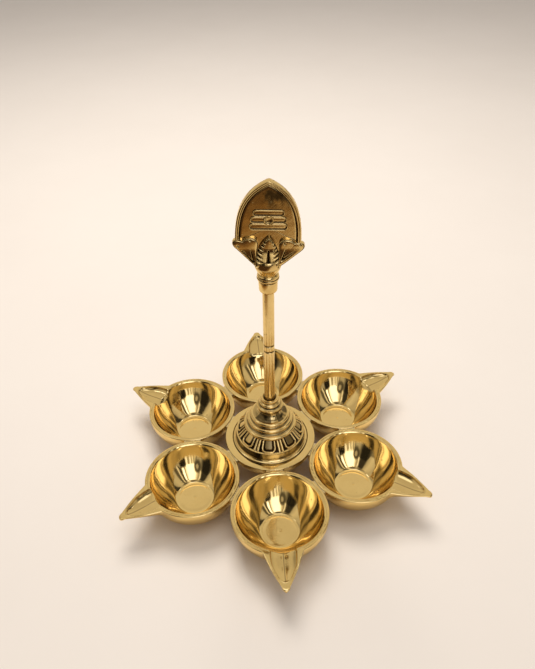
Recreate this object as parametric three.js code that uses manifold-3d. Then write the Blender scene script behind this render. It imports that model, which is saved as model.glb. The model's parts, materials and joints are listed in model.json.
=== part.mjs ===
// Six-bowl brass oil lamp with a stem handle and a leaf finial.
// Millimetres, +Z up. The lamp stands on z = 0 and its front spout points to -Y.

import * as THREE from 'three';
import { mergeVertices } from 'three/addons/utils/BufferGeometryUtils.js';
import Module from 'manifold-3d';

const wasm = await Module();
wasm.setup();

// Bowls
const bowlCount = 6;
const bowlRadius = 24.75;
const bowlDepth = 17.5;
const bowlFloor = 2.5;
const bowlLip = 2.1;
const bowlBand = 2.2;
const bowlFoot = 10;
const bowlFlatFloor = 9.5;
const bowlFullness = 1.6;
const lipStep = 0.5;

// How far each spout points off the straight line out of the lamp, as the bowls were set by hand.
const spoutTurns = [-2, -3, -3.5, 0.5, -2, -0.5];

// Spout
const spoutReach = 42;
const spoutWidth = 19.6;
const spoutDrop = 1.5;
const spoutTipRadius = 2;
const spoutTipDepth = 1.8;
const spoutRootDepth = 8.5;
const spoutLip = 1.2;
const spoutSteps = 6;
const troughWidth = 13;
const troughDepth = 2.8;
const troughEnd = 4.2;
const troughPoint = 0.25;
const troughTaper = 2.8;
const troughEndRound = 0.62;
const troughFullness = 4;
const spoutBulge = 0.5;
const spoutBellyFade = 1.4;
const spoutNoseAngles = [45, 75];

// Braze between the rims
const brazeGap = 0.5;
const brazeLength = 9;
const brazeDepth = 4.6;
const brazeSink = 0.4;
const brazeClearance = 0.1;

// Centre cup
const cupLip = 4;
const cupDepth = 12;
const cupFloor = 2;
const cupFoot = 9.5;
const cupSeatDepth = 3;
const cupSeatWidth = 2.2;

// Boss
const bossWall = 2;
const bossClearance = 0.35;
const bossShoulderRadius = 18.4;
const bossShoulderHeight = 5.2;
const bossSkirtHeight = 1.5;
const bossSkirtStep = 0.5;
const bossRingRadii = [14.3, 12.25, 10.5];
const bossRingHeights = [11.5, 14.8, 17.6];
const bossRingSize = 1.1;
const bossWaist = 5.6;
const bossWaistHeight = 22.6;
const bossDiscRadius = 7;
const bossDiscHeight = 24.8;
const bossDiscThickness = 0.9;
const bossBeadRadius = 5.6;
const bossBeadHeight = 26.8;
const bossBeadSize = 0.9;
const bossSocketRadius = 4.7;
const bossSocketEdge = 0.3;
const bossHeight = 30.2;
const bossMouthDepth = 1.4;
const bossMouthWidth = 0.9;
const panelCount = 8;
const panelTurn = -8;
const panelDepth = 0.7;
const panelWidth = 6.2;
const panelMargin = 1.2;
const panelTopShare = 0.72;
const panelFacets = 2;

// Stem
const stemRadius = 2.75;
const stemSeatHeight = 26.8;
const tenonRadius = 1.95;
const jointHeight = 62.7;
const jointRingHeight = 3.4;
const jointGap = 0.3;
const jointGroove = 0.35;
const stemTopHeight = 111.3;
const fitClearance = 0.12;

// Threaded stud inside the joint
const studRadius = 1.55;
const studGrip = 8;
const studEndGap = 0.6;

// Washer and nut under the centre cup
const washerRadius = 4.5;
const washerThickness = 0.8;
const nutAcrossFlats = 7;
const nutHeight = 3;
const tenonEnd = 0.6;

// Ferrule and finial, with the leaf's heights counted from the finial's lower face
const ferruleRadius = 4.45;
const ferruleDrop = 12;
const ferruleHeight = 5.6;
const ferruleTaper = 0.2;
const ferruleEdge = 0.7;
const ferruleEdgeRound = 0.2;
const finialGap = 0.3;
const finialTurn = -4.9;
const finialBeadRadius = 5.15;
const finialBeadHeight = 3.4;
const finialBeadFlat = 0.8;
const finialBeadEdge = 0.7;
const finialNeckRadius = 4.48;
const finialNeckHeight = 0.5;
const calyxRadius = 6.06;
const calyxFlare = 3.9;
const calyxHeight = 7.8;
const calyxTopRadius = 5.2;
const leafWidth = 28.7;
const leafBulgeRise = 20.8;
const leafSideRise = 13.7;
const leafShoulderHalf = 11;
const leafShoulderRise = 43.3;
const leafTipRise = 48.85;
const leafTipHalf = 0.9;
const leafTipRound = 0.3;
const leafLean = 1.5;
const leafThickness = 3.6;
const leafBorder = 2.1;
const leafRecess = 1;
const leafEdgeRound = 0.5;
const leafRootHalf = 3.6;
const leafBend = 0.9;
const leafBendRise = 4.4;
const leafRootSink = 1.8;
const barLengths = [16.8, 15.9, 13.8];
const barWidth = 3.1;
const barPitch = 3.3;
const barLift = 0.6;
const barMiddleRise = 30.2;
const dotRadius = 2.2;
const dotLift = 1;
const petalReach = 16.1;
const petalTopRise = 23.4;
const petalSink = 2.3;
const petalEdge = 2.3;
const petalFront = 4.6;
const petalBack = 1;
const petalLean = 4;
const midPetalWidth = 10.6;
const midPetalTopRise = 24.1;
const midPetalFront = 5.6;

// Facets
const bowlFacets = 30;
const bossFacets = 32;
const stemFacets = 20;
const curveSteps = 5;
const beadSteps = 3;
const coveSteps = 3;
const leafSteps = 6;
const shapeSteps = 4;
const brazeFacets = 3;
const leastBody = 0.01;

// How far a cutter stands past the face it cuts, and a raised figure sinks into its ground
const cutOver = 1;
const sunk = 0.5;

// Values that follow from the ones above
const rimHeight = bowlDepth + bowlFloor;
const ringRadius = (2 * bowlRadius + brazeGap) / (2 * Math.sin(Math.PI / bowlCount));
const cupRadius = ringRadius - bowlRadius - brazeGap;
const cupMouth = cupRadius - cupLip;
const bossFootRadius = cupMouth - bossClearance;
const jointRingLow = jointHeight + jointGap;
const upperStemLow = jointRingLow + jointRingHeight + jointGap;
const ferruleLow = stemTopHeight - ferruleDrop;
const finialLow = ferruleLow + ferruleHeight + finialGap;
const finialNeckLow = finialLow + finialBeadHeight;
const calyxLow = finialNeckLow + finialNeckHeight;
const calyxTop = calyxLow + calyxHeight;
const petalRoot = calyxTop - petalSink;
const petalHeight = finialLow + petalTopRise - petalRoot;
const midPetalHeight = finialLow + midPetalTopRise - petalRoot;
const leafBulgeHeight = finialLow + leafBulgeRise;
const leafShoulderHeight = finialLow + leafShoulderRise;
const leafTipHeight = finialLow + leafTipRise;
const barMiddleHeight = finialLow + barMiddleRise;
const radians = THREE.MathUtils.degToRad;

const polishedBrass = { color: 0xd9a441, roughness: 0.18, metalness: 1 };
const rodBrass = { color: 0xcf9a45, roughness: 0.34, metalness: 1 };
const castBrass = { color: 0xb98a3c, roughness: 0.3, metalness: 1 };
const brazeMetal = { color: 0xd8c489, roughness: 0.4, metalness: 1 };
const plainSteel = { color: 0x9a9c9e, roughness: 0.4, metalness: 1 };

const lamp = new THREE.Group();

function addPiece(name, geometry, look, parent = lamp) {
  const mesh = new THREE.Mesh(geometry, new THREE.MeshStandardMaterial(look));
  mesh.name = name;
  parent.add(mesh);
  return mesh;
}

// A closed geometry as a solid that can be cut and joined
function solidOf(geometry) {
  const bare = geometry.index ? geometry.toNonIndexed() : geometry.clone();
  bare.deleteAttribute('normal');
  bare.deleteAttribute('uv');
  const merged = mergeVertices(bare, 1e-4);
  const vertProperties = new Float32Array(merged.attributes.position.array);
  const triVerts = new Uint32Array(merged.index.array);
  return new wasm.Manifold(new wasm.Mesh({ numProp: 3, vertProperties, triVerts }));
}

// A solid without the specks that a join of nearly flush faces can leave
function withoutSpecks(solid) {
  const bodies = solid.decompose().filter((body) => Math.abs(body.volume()) > leastBody);
  return bodies.reduce((whole, body) => whole.add(body));
}

function geometryOf(solid) {
  const cut = solid.getMesh();
  const geometry = new THREE.BufferGeometry();
  geometry.setAttribute('position', new THREE.BufferAttribute(cut.vertProperties, 3));
  geometry.setIndex(new THREE.BufferAttribute(cut.triVerts, 1));
  return geometry;
}

// A profile of [radius, height] pairs turned about the Z axis
function turned(profile, facets) {
  const points = profile.map(([radius, height]) => new THREE.Vector2(radius, height));
  const geometry = new THREE.LatheGeometry(points, facets);
  geometry.rotateX(Math.PI / 2);
  return geometry;
}

// A ring-shaped profile closes on itself
function turnedRing(profile, facets) {
  return turned([...profile, profile[0]], facets);
}

// Points on a quarter curve from (wide, high) to (narrow, low); fullness 2 is an ellipse
function quarterCurve(wide, high, narrow, low, fullness, steps) {
  const points = [];
  for (let i = 0; i <= steps; i += 1) {
    const angle = (i / steps) * Math.PI / 2;
    const across = Math.cos(angle) ** (2 / fullness);
    const down = Math.sin(angle) ** (2 / fullness);
    points.push([narrow + (wide - narrow) * across, high - (high - low) * down]);
  }
  return points;
}

// Points on a hollow quarter curve that leaves (wide, low) level and rises into (narrow, high)
function coveCurve(wide, low, narrow, high) {
  const points = [];
  for (let i = 0; i <= coveSteps; i += 1) {
    const angle = (i / coveSteps) * Math.PI / 2;
    const radius = wide - (wide - narrow) * Math.sin(angle);
    points.push([radius, low + (high - low) * (1 - Math.cos(angle))]);
  }
  return points;
}

// A flat shape in X and Z given a thickness in Y, from front to back
function plate(shape, front, back, bevel = 0) {
  const geometry = new THREE.ExtrudeGeometry(shape, {
    depth: back - front - 2 * bevel,
    bevelEnabled: bevel > 0,
    bevelThickness: bevel,
    bevelSize: bevel,
    bevelOffset: -bevel,
    bevelSegments: 2,
    curveSegments: shapeSteps,
  });
  geometry.rotateX(Math.PI / 2);
  geometry.translate(0, back - bevel, 0);
  return geometry;
}

// One bowl, about its own axis with its rim at z = 0 and its spout along +X
function bowlOutside() {
  const wall = quarterCurve(bowlRadius, -bowlBand, bowlFoot, -rimHeight, bowlFullness, curveSteps);
  return turned([[0, -rimHeight], ...wall.reverse(), [bowlRadius, 0], [0, 0]], bowlFacets);
}

function bowlInside() {
  const mouth = bowlRadius - bowlLip;
  const wall = quarterCurve(
    mouth - lipStep, -lipStep, bowlFlatFloor, -bowlDepth, bowlFullness, curveSteps,
  );
  return turned([
    [0, -bowlDepth],
    ...wall.reverse(),
    [mouth, 0],
    [mouth, cutOver],
    [0, cutOver],
  ], bowlFacets);
}

// Half the spout's width at a distance from the bowl's axis
function spoutHalfWidth(distance, tip, rootWidth) {
  const root = bowlRadius - bowlLip;
  const share = Math.min(1, Math.max(0, (tip - distance) / (tip - root)));
  const bulge = spoutBulge * Math.sin(Math.PI * share);
  return spoutTipRadius + (rootWidth / 2 - spoutTipRadius) * share + bulge;
}

// A solid lofted through cross sections that all have the same number of points
function loft(sections) {
  const count = sections[0].length;
  const positions = sections.flat(2);
  const index = [];
  for (let s = 0; s + 1 < sections.length; s += 1) {
    for (let i = 0; i < count; i += 1) {
      const a = s * count + i;
      const b = s * count + ((i + 1) % count);
      index.push(a, b, b + count, a, b + count, a + count);
    }
  }
  const last = (sections.length - 1) * count;
  for (let i = 1; i + 1 < count; i += 1) {
    index.push(0, i + 1, i);
    index.push(last, last + i, last + i + 1);
  }
  const geometry = new THREE.BufferGeometry();
  geometry.setAttribute('position', new THREE.Float32BufferAttribute(positions, 3));
  geometry.setIndex(index);
  return geometry;
}

// A cross section across the spout: a flat top and a belly, round at fullness 2 and squarer above it
function bellySection(distance, halfWidth, top, depth, fullness) {
  const points = [[distance, halfWidth, top]];
  points.push([distance, -halfWidth, top]);
  for (let i = 1; i < curveSteps; i += 1) {
    const angle = (i / curveSteps) * Math.PI;
    const side = Math.cos(angle);
    const across = Math.sign(side) * Math.abs(side) ** (2 / fullness);
    const down = Math.sin(angle) ** (2 / fullness);
    points.push([distance, -halfWidth * across, top - depth * down]);
  }
  return points;
}

function spoutTop(distance) {
  const share = (distance - bowlRadius) / (spoutReach - bowlRadius);
  return -spoutDrop * Math.max(0, share);
}

function spoutOutside() {
  const sections = [];
  const start = bowlRadius - bowlLip;
  const noseStart = spoutReach - spoutTipRadius;
  for (let i = 0; i <= spoutSteps; i += 1) {
    const share = i / spoutSteps;
    const distance = start + (noseStart - start) * share;
    const width = spoutHalfWidth(distance, noseStart, spoutWidth);
    const belly = (1 - share) ** spoutBellyFade;
    const depth = spoutTipDepth + (spoutRootDepth - spoutTipDepth) * belly;
    sections.push(bellySection(distance, width, spoutTop(distance), depth, 2));
  }
  for (const angle of spoutNoseAngles) {
    const distance = noseStart + spoutTipRadius * Math.sin(radians(angle));
    const width = spoutTipRadius * Math.cos(radians(angle));
    sections.push(bellySection(distance, width, spoutTop(distance), spoutTipDepth, 2));
  }
  return loft(sections);
}

// A flat-floored trough that narrows to a rounded end and keeps a lip on each side
function spoutTrough() {
  const sections = [];
  const start = bowlRadius - 2 * bowlLip;
  const end = spoutReach - troughEnd;
  for (let i = 0; i <= spoutSteps; i += 1) {
    const share = Math.sin((i / spoutSteps) * Math.PI / 2);
    const distance = start + (end - start) * share;
    const outer = spoutHalfWidth(distance, spoutReach - spoutTipRadius, spoutWidth);
    const depth = cutOver + troughDepth * Math.sqrt(Math.max(0, 1 - share ** 3));
    const own = (troughWidth / 2) * Math.max(0, 1 - share ** troughTaper) ** troughEndRound;
    const width = Math.max(troughPoint, Math.min(own, outer - spoutLip));
    const top = spoutTop(distance) + cutOver;
    sections.push(bellySection(distance, width, top, depth, troughFullness));
  }
  return loft(sections);
}

function bowlGeometry() {
  const body = solidOf(bowlOutside()).add(solidOf(spoutOutside()));
  const hollow = solidOf(bowlInside()).add(solidOf(spoutTrough()));
  return geometryOf(body.subtract(hollow));
}

const bowlShape = bowlGeometry();
for (let i = 0; i < bowlCount; i += 1) {
  const direction = -90 + (i * 360) / bowlCount;
  const spot = new THREE.Group();
  spot.rotation.z = radians(direction);
  lamp.add(spot);
  const bowl = addPiece(`bowl_${i + 1}`, bowlShape, polishedBrass, spot);
  bowl.position.set(ringRadius, 0, rimHeight);
  bowl.rotation.z = radians(spoutTurns[i % spoutTurns.length]);
}

// Braze metal that fills the narrow gap where two rims meet, with X across the gap
function brazeGeometry(radiusA, radiusB) {
  const half = brazeLength / 2;
  const shape = new THREE.Shape();
  const wallA = radiusA + brazeClearance;
  const wallB = radiusB + brazeClearance;
  const centreA = -radiusA - brazeGap / 2;
  const centreB = radiusB + brazeGap / 2;
  const endA = Math.asin(half / wallA);
  const endB = Math.asin(half / wallB);
  shape.absarc(centreA, 0, wallA, -endA, endA, false);
  shape.absarc(centreB, 0, wallB, Math.PI - endB, Math.PI + endB, false);
  shape.closePath();
  const geometry = new THREE.ExtrudeGeometry(shape, {
    depth: brazeDepth,
    bevelEnabled: false,
    curveSegments: brazeFacets,
  });
  geometry.translate(0, 0, -brazeSink - brazeDepth);
  return geometry;
}

const rimBraze = brazeGeometry(bowlRadius, bowlRadius);
const cupBraze = brazeGeometry(bowlRadius, cupRadius);
const rimContactRadius = ringRadius * Math.cos(Math.PI / bowlCount);
for (let i = 0; i < bowlCount; i += 1) {
  const toBowl = new THREE.Group();
  toBowl.rotation.z = radians(-90 + (i * 360) / bowlCount);
  lamp.add(toBowl);
  const inner = addPiece(`cup_braze_${i + 1}`, cupBraze, brazeMetal, toBowl);
  inner.position.set(cupRadius + brazeGap / 2, 0, rimHeight);
  inner.rotation.z = Math.PI;
  const between = new THREE.Group();
  between.rotation.z = radians(-90 + ((i + 0.5) * 360) / bowlCount);
  lamp.add(between);
  const outer = addPiece(`rim_braze_${i + 1}`, rimBraze, brazeMetal, between);
  outer.position.set(rimContactRadius, 0, rimHeight);
  outer.rotation.z = Math.PI / 2;
}

// Everything on the lamp's axis, with heights counted from the rims
const centre = new THREE.Group();
centre.position.z = rimHeight;
lamp.add(centre);

// Centre cup: a turned cup with a wide flat lip and a ledge for the boss
const cupUnderside = -cupDepth - cupFloor;
const seatRadius = cupMouth - cupSeatWidth;
const tenonHole = tenonRadius + fitClearance;
const cupOuterWall = quarterCurve(
  cupRadius, -bowlBand, cupFoot, cupUnderside, bowlFullness, curveSteps,
);
const cupInnerWall = quarterCurve(
  seatRadius, -cupSeatDepth, cupFoot - cupFloor, -cupDepth, bowlFullness, curveSteps,
);
addPiece('centre_cup', turnedRing([
  [tenonHole, cupUnderside],
  ...cupOuterWall.reverse(),
  [cupRadius, 0],
  [cupMouth, 0],
  [cupMouth, -cupSeatDepth],
  ...cupInnerWall,
  [tenonHole, -cupDepth],
], bowlFacets), polishedBrass, centre);

// A half-round bead of the profile between two heights at a radius
function bead(radius, middle, size) {
  const points = [];
  for (let i = 0; i <= beadSteps; i += 1) {
    const angle = -Math.PI / 2 + (i / beadSteps) * Math.PI;
    points.push([radius - size + size * Math.cos(angle), middle + size * Math.sin(angle)]);
  }
  return points;
}

// Boss: foot with a hollow fillet, shoulder, sloping band, three ring steps, waist, disc, bead, socket
const [ringLow, ringMid, ringTop] = bossRingRadii;
const [ringLowAt, ringMidAt, ringTopAt] = bossRingHeights;
const discTop = bossDiscHeight + bossDiscThickness / 2;
const discLow = bossDiscHeight - bossDiscThickness / 2;
const socketHole = stemRadius + fitClearance;
const mouthHole = socketHole + bossMouthWidth;
const bossWallRadius = bossShoulderRadius + bossSkirtStep;
const waistCurve = coveCurve(
  ringTop - bossRingSize, ringTopAt + bossRingSize, bossWaist, bossWaistHeight,
);
const bossOutside = [
  [bossFootRadius, -cupSeatDepth],
  ...coveCurve(bossFootRadius, 0, bossWallRadius, bossSkirtHeight),
  [bossShoulderRadius, bossShoulderHeight - bossSkirtStep],
  [bossShoulderRadius, bossShoulderHeight],
  ...bead(ringLow, ringLowAt, bossRingSize),
  ...bead(ringMid, ringMidAt, bossRingSize),
  ...bead(ringTop, ringTopAt, bossRingSize),
  ...waistCurve.slice(1),
  [bossDiscRadius, discLow],
  [bossDiscRadius, discTop],
  [bossBeadRadius - bossBeadSize, discTop],
  ...bead(bossBeadRadius, bossBeadHeight, bossBeadSize),
  [bossSocketRadius - bossSocketEdge, bossBeadHeight + bossBeadSize + bossSocketEdge],
  [bossSocketRadius, bossHeight - 3 * bossSocketEdge],
  [bossSocketRadius - bossSocketEdge, bossHeight],
];
const bossInside = [
  [mouthHole, bossHeight],
  [mouthHole, bossHeight - bossMouthDepth],
  [socketHole, bossHeight - bossMouthDepth],
  [socketHole, stemSeatHeight],
  [tenonHole, stemSeatHeight],
  [tenonHole, stemSeatHeight - bossWall],
  [bossWaist - bossWall, bossWaistHeight],
  [bossWaist - bossWall, ringTopAt],
  [ringTop - bossRingSize - bossWall, ringTopAt - bossWall],
  [ringLow - bossRingSize - bossWall, ringLowAt - bossWall],
  [bossShoulderRadius - bossWall, bossShoulderHeight - bossWall],
  [bossFootRadius - bossWall, -cupSeatDepth],
];

// A recessed panel of the sloping band, at angle 0
const bandLow = new THREE.Vector2(bossShoulderRadius, bossShoulderHeight);
const bandHigh = new THREE.Vector2(ringLow - bossRingSize, ringLowAt - bossRingSize);
const bandLength = bandLow.distanceTo(bandHigh);
const bandLean = Math.atan2(bandHigh.y - bandLow.y, bandLow.x - bandHigh.x);

function panelCutter() {
  const length = bandLength - 2 * panelMargin;
  const half = panelWidth / 2;
  const shape = new THREE.Shape();
  const top = half * panelTopShare;
  shape.moveTo(-top, length / 2);
  shape.lineTo(-half, -length / 2 + half * 0.5);
  shape.quadraticCurveTo(-half, -length / 2, -half * 0.5, -length / 2);
  shape.lineTo(half * 0.5, -length / 2);
  shape.quadraticCurveTo(half, -length / 2, half, -length / 2 + half * 0.5);
  shape.lineTo(top, length / 2);
  shape.closePath();
  const geometry = new THREE.ExtrudeGeometry(shape, {
    depth: panelDepth + 3 * cutOver,
    bevelEnabled: false,
    curveSegments: panelFacets,
  });
  geometry.translate(0, 0, -panelDepth);
  geometry.rotateX(bandLean);
  geometry.rotateZ(Math.PI / 2);
  geometry.translate((bandLow.x + bandHigh.x) / 2, 0, (bandLow.y + bandHigh.y) / 2);
  return geometry;
}

function bossGeometry() {
  let boss = solidOf(turnedRing([...bossOutside, ...bossInside], bossFacets));
  for (let i = 0; i < panelCount; i += 1) {
    const cutter = panelCutter();
    cutter.rotateZ(radians(-90 + panelTurn + (i * 360) / panelCount));
    boss = boss.subtract(solidOf(cutter));
  }
  return geometryOf(boss);
}

addPiece('boss', bossGeometry(), castBrass, centre);

// Lower stem: seated in the boss, its tenon runs down to the nut, its top is bored for the stud
const studBore = studRadius + fitClearance;
const nutLow = cupUnderside - washerThickness - nutHeight;
addPiece('lower_stem', turned([
  [0, nutLow - tenonEnd],
  [tenonRadius, nutLow - tenonEnd],
  [tenonRadius, stemSeatHeight],
  [stemRadius, stemSeatHeight],
  [stemRadius, jointHeight - jointGroove],
  [stemRadius - jointGroove, jointHeight],
  [studBore, jointHeight],
  [studBore, jointHeight - studGrip - studEndGap],
  [0, jointHeight - studGrip - studEndGap],
], stemFacets), rodBrass, centre);

// Washer and hexagon nut, with the tenon through them
addPiece('base_washer', turnedRing([
  [tenonHole, cupUnderside - washerThickness],
  [washerRadius, cupUnderside - washerThickness],
  [washerRadius, cupUnderside],
  [tenonHole, cupUnderside],
], stemFacets), plainSteel, centre);

function nutGeometry() {
  const shape = new THREE.Shape();
  const corner = nutAcrossFlats / 2 / Math.cos(Math.PI / 6);
  for (let i = 0; i < 6; i += 1) {
    const angle = (i * Math.PI) / 3;
    const x = corner * Math.cos(angle);
    const y = corner * Math.sin(angle);
    if (i === 0) {
      shape.moveTo(x, y);
    } else {
      shape.lineTo(x, y);
    }
  }
  shape.closePath();
  const hole = new THREE.Path();
  hole.absarc(0, 0, tenonHole, 0, 2 * Math.PI, true);
  shape.holes.push(hole);
  const geometry = new THREE.ExtrudeGeometry(shape, {
    depth: nutHeight,
    bevelEnabled: false,
    curveSegments: stemFacets / 2,
  });
  geometry.translate(0, 0, nutLow);
  return geometry;
}

addPiece('base_nut', nutGeometry(), plainSteel, centre);

// Stud, joint ring and upper stem
addPiece('joint_stud', turned([
  [0, jointHeight - studGrip],
  [studRadius, jointHeight - studGrip],
  [studRadius, upperStemLow + studGrip],
  [0, upperStemLow + studGrip],
], stemFacets), plainSteel, centre);

const jointRingTop = jointRingLow + jointRingHeight;
addPiece('joint_ring', turnedRing([
  [studBore, jointRingLow],
  [stemRadius - jointGroove, jointRingLow],
  [stemRadius, jointRingLow + jointGroove],
  [stemRadius, jointRingTop - jointGroove],
  [stemRadius - jointGroove, jointRingTop],
  [studBore, jointRingTop],
], stemFacets), rodBrass, centre);

addPiece('upper_stem', turned([
  [0, upperStemLow + studGrip + studEndGap],
  [studBore, upperStemLow + studGrip + studEndGap],
  [studBore, upperStemLow],
  [stemRadius - jointGroove, upperStemLow],
  [stemRadius, upperStemLow + jointGroove],
  [stemRadius, stemTopHeight],
  [0, stemTopHeight],
], stemFacets), rodBrass, centre);

// Ferrule: a plain sleeve round the top of the rod, a little narrower at its rounded lower edge
const ferruleTop = ferruleLow + ferruleHeight;
const ferruleLowRadius = ferruleRadius - ferruleTaper;
addPiece('ferrule', turnedRing([
  [socketHole, ferruleLow],
  [ferruleLowRadius - ferruleEdge, ferruleLow],
  [ferruleLowRadius - ferruleEdgeRound, ferruleLow + ferruleEdgeRound],
  [ferruleLowRadius, ferruleLow + ferruleEdge],
  [ferruleRadius, ferruleTop],
  [socketHole, ferruleTop],
], stemFacets), castBrass, centre);

// Finial: a turned foot with a socket for the rod, the leaf and three lotus petals
function finialFoot() {
  const beadLow = finialLow + finialBeadEdge;
  const beadHigh = beadLow + finialBeadFlat;
  const beadCrown = quarterCurve(
    finialBeadRadius, finialNeckLow, finialNeckRadius, beadHigh, 2, beadSteps,
  ).map(([radius, height]) => [radius, finialNeckLow + beadHigh - height]);
  const widest = calyxLow + calyxFlare;
  const calyxCrown = quarterCurve(
    calyxRadius, calyxTop, calyxTopRadius, widest, 2, beadSteps,
  ).map(([radius, height]) => [radius, calyxTop + widest - height]);
  return turned([
    [0, stemTopHeight + fitClearance],
    [socketHole, stemTopHeight + fitClearance],
    [socketHole, finialLow],
    [finialBeadRadius - finialBeadEdge, finialLow],
    [finialBeadRadius, beadLow],
    ...beadCrown,
    [finialNeckRadius, calyxLow],
    ...calyxCrown,
    [0, calyxTop],
  ], stemFacets);
}

// The leaf's right side from its root in the calyx up to its blunt tip, drawn in by an inset
function leafSide(inset, rootHeight) {
  const half = leafWidth / 2;
  const lower = new THREE.QuadraticBezierCurve(
    new THREE.Vector2(leafRootHalf, rootHeight),
    new THREE.Vector2(half - leafBend, rootHeight + leafBendRise),
    new THREE.Vector2(half, leafBulgeHeight),
  );
  const upper = new THREE.CubicBezierCurve(
    new THREE.Vector2(half, leafBulgeHeight),
    new THREE.Vector2(half, leafBulgeHeight + leafSideRise),
    new THREE.Vector2(leafShoulderHalf, leafShoulderHeight),
    new THREE.Vector2(leafTipHalf, leafTipHeight - leafTipRound),
  );
  const drawnIn = (curve, share) => {
    const spot = curve.getPoint(share);
    const along = curve.getTangent(share);
    return new THREE.Vector2(spot.x - inset * along.y, spot.y + inset * along.x);
  };
  const points = [];
  for (let i = 0; i < leafSteps; i += 1) {
    points.push(drawnIn(lower, i / leafSteps));
  }
  for (let i = 0; i <= leafSteps; i += 1) {
    points.push(drawnIn(upper, i / leafSteps));
  }
  const side = points.filter((point) => point.x > 0);
  const last = side[side.length - 1];
  const past = points.find((point) => point.x <= 0);
  if (past) {
    side.push(last.clone().lerp(past, last.x / (last.x - past.x)));
  } else {
    side.push(new THREE.Vector2(0, leafTipHeight - inset));
  }
  return side;
}

function leafShape(inset, rootHeight) {
  const right = leafSide(inset, rootHeight);
  const left = right.slice(0, -1).reverse().map((point) => new THREE.Vector2(-point.x, point.y));
  return new THREE.Shape([...right, ...left]);
}

// A pillow-like solid: a flat outline in X and Z, drawn in about its middle at each layer in Y
function pillow(shape, layers) {
  const outline = shape.getPoints(shapeSteps);
  if (outline[0].distanceTo(outline[outline.length - 1]) < 1e-6) {
    outline.pop();
  }
  if (THREE.ShapeUtils.isClockWise(outline)) {
    outline.reverse();
  }
  const middle = new THREE.Box2().setFromPoints(outline).getCenter(new THREE.Vector2());
  const positions = [];
  for (const [depth, scale] of layers) {
    for (const point of outline) {
      const drawn = point.clone().sub(middle).multiplyScalar(scale).add(middle);
      positions.push(drawn.x, depth, drawn.y);
    }
  }
  const count = outline.length;
  const index = [];
  for (let layer = 0; layer + 1 < layers.length; layer += 1) {
    for (let i = 0; i < count; i += 1) {
      const a = layer * count + i;
      const b = layer * count + ((i + 1) % count);
      index.push(a, b, b + count, a, b + count, a + count);
    }
  }
  const last = (layers.length - 1) * count;
  for (const [a, b, c] of THREE.ShapeUtils.triangulateShape(outline, [])) {
    index.push(a, c, b, last + a, last + b, last + c);
  }
  const geometry = new THREE.BufferGeometry();
  geometry.setAttribute('position', new THREE.Float32BufferAttribute(positions, 3));
  geometry.setIndex(index);
  return geometry;
}

// A side petal fans out from the calyx to a rolled tip at the side, with a rounded crest inside it.
// Its points are shares of the petal's reach and height; side is 1 or -1.
function sidePetalShape(side) {
  const at = (across, up) => [side * across * petalReach, petalRoot + up * petalHeight];
  const shape = new THREE.Shape();
  shape.moveTo(...at(0.28, 0));
  shape.lineTo(...at(0.36, 0.02));
  shape.quadraticCurveTo(...at(0.62, 0.28), ...at(0.9, 0.6));
  shape.quadraticCurveTo(...at(1.03, 0.76), ...at(0.97, 0.86));
  shape.quadraticCurveTo(...at(0.92, 0.94), ...at(0.82, 0.91));
  shape.quadraticCurveTo(...at(0.74, 0.88), ...at(0.68, 0.92));
  shape.quadraticCurveTo(...at(0.6, 1), ...at(0.5, 1));
  shape.quadraticCurveTo(...at(0.3, 1), ...at(0.27, 0.8));
  shape.quadraticCurveTo(...at(0.32, 0.4), ...at(0.28, 0));
  return shape;
}

// The middle petal: a pointed oval
function midPetalShape() {
  const half = midPetalWidth / 2;
  const at = (across, up) => [across * half, petalRoot + up * midPetalHeight];
  const shape = new THREE.Shape();
  shape.moveTo(...at(-1, 0));
  shape.lineTo(...at(1, 0));
  shape.bezierCurveTo(...at(1, 0.6), ...at(0.55, 0.82), ...at(0, 1));
  shape.bezierCurveTo(...at(-0.55, 0.82), ...at(-1, 0.6), ...at(-1, 0));
  return shape;
}

function barShape(length, height) {
  const half = length / 2;
  const end = barWidth / 2;
  const shape = new THREE.Shape();
  shape.absarc(half - end, height, end, -Math.PI / 2, Math.PI / 2, false);
  shape.absarc(end - half, height, end, Math.PI / 2, 1.5 * Math.PI, false);
  shape.closePath();
  return shape;
}

// Layers of a petal from its back, past a thin edge, to its rounded front
function petalLayers(front) {
  const crown = front - petalEdge;
  return [
    [petalBack, 0.9],
    [0, 1],
    [-petalEdge, 1],
    [-petalEdge - 0.6 * crown, 0.9],
    [-petalEdge - crown, 0.66],
  ];
}

// Tilts a flat part of the finial to one side about a height on its axis
function leaned(geometry, angle, pivot) {
  geometry.translate(0, 0, -pivot);
  geometry.rotateY(radians(angle));
  geometry.translate(0, 0, pivot);
  return geometry;
}

// The petals lean further to one side than the leaf behind them, as they were cast
function petalSolid(shape, front) {
  const pivot = petalRoot + petalHeight / 3;
  return solidOf(leaned(pillow(shape, petalLayers(front)), petalLean, pivot));
}

function leafSolid(shape, front, back, bevel = 0) {
  return solidOf(leaned(plate(shape, front, back, bevel), leafLean, calyxTop));
}

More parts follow.
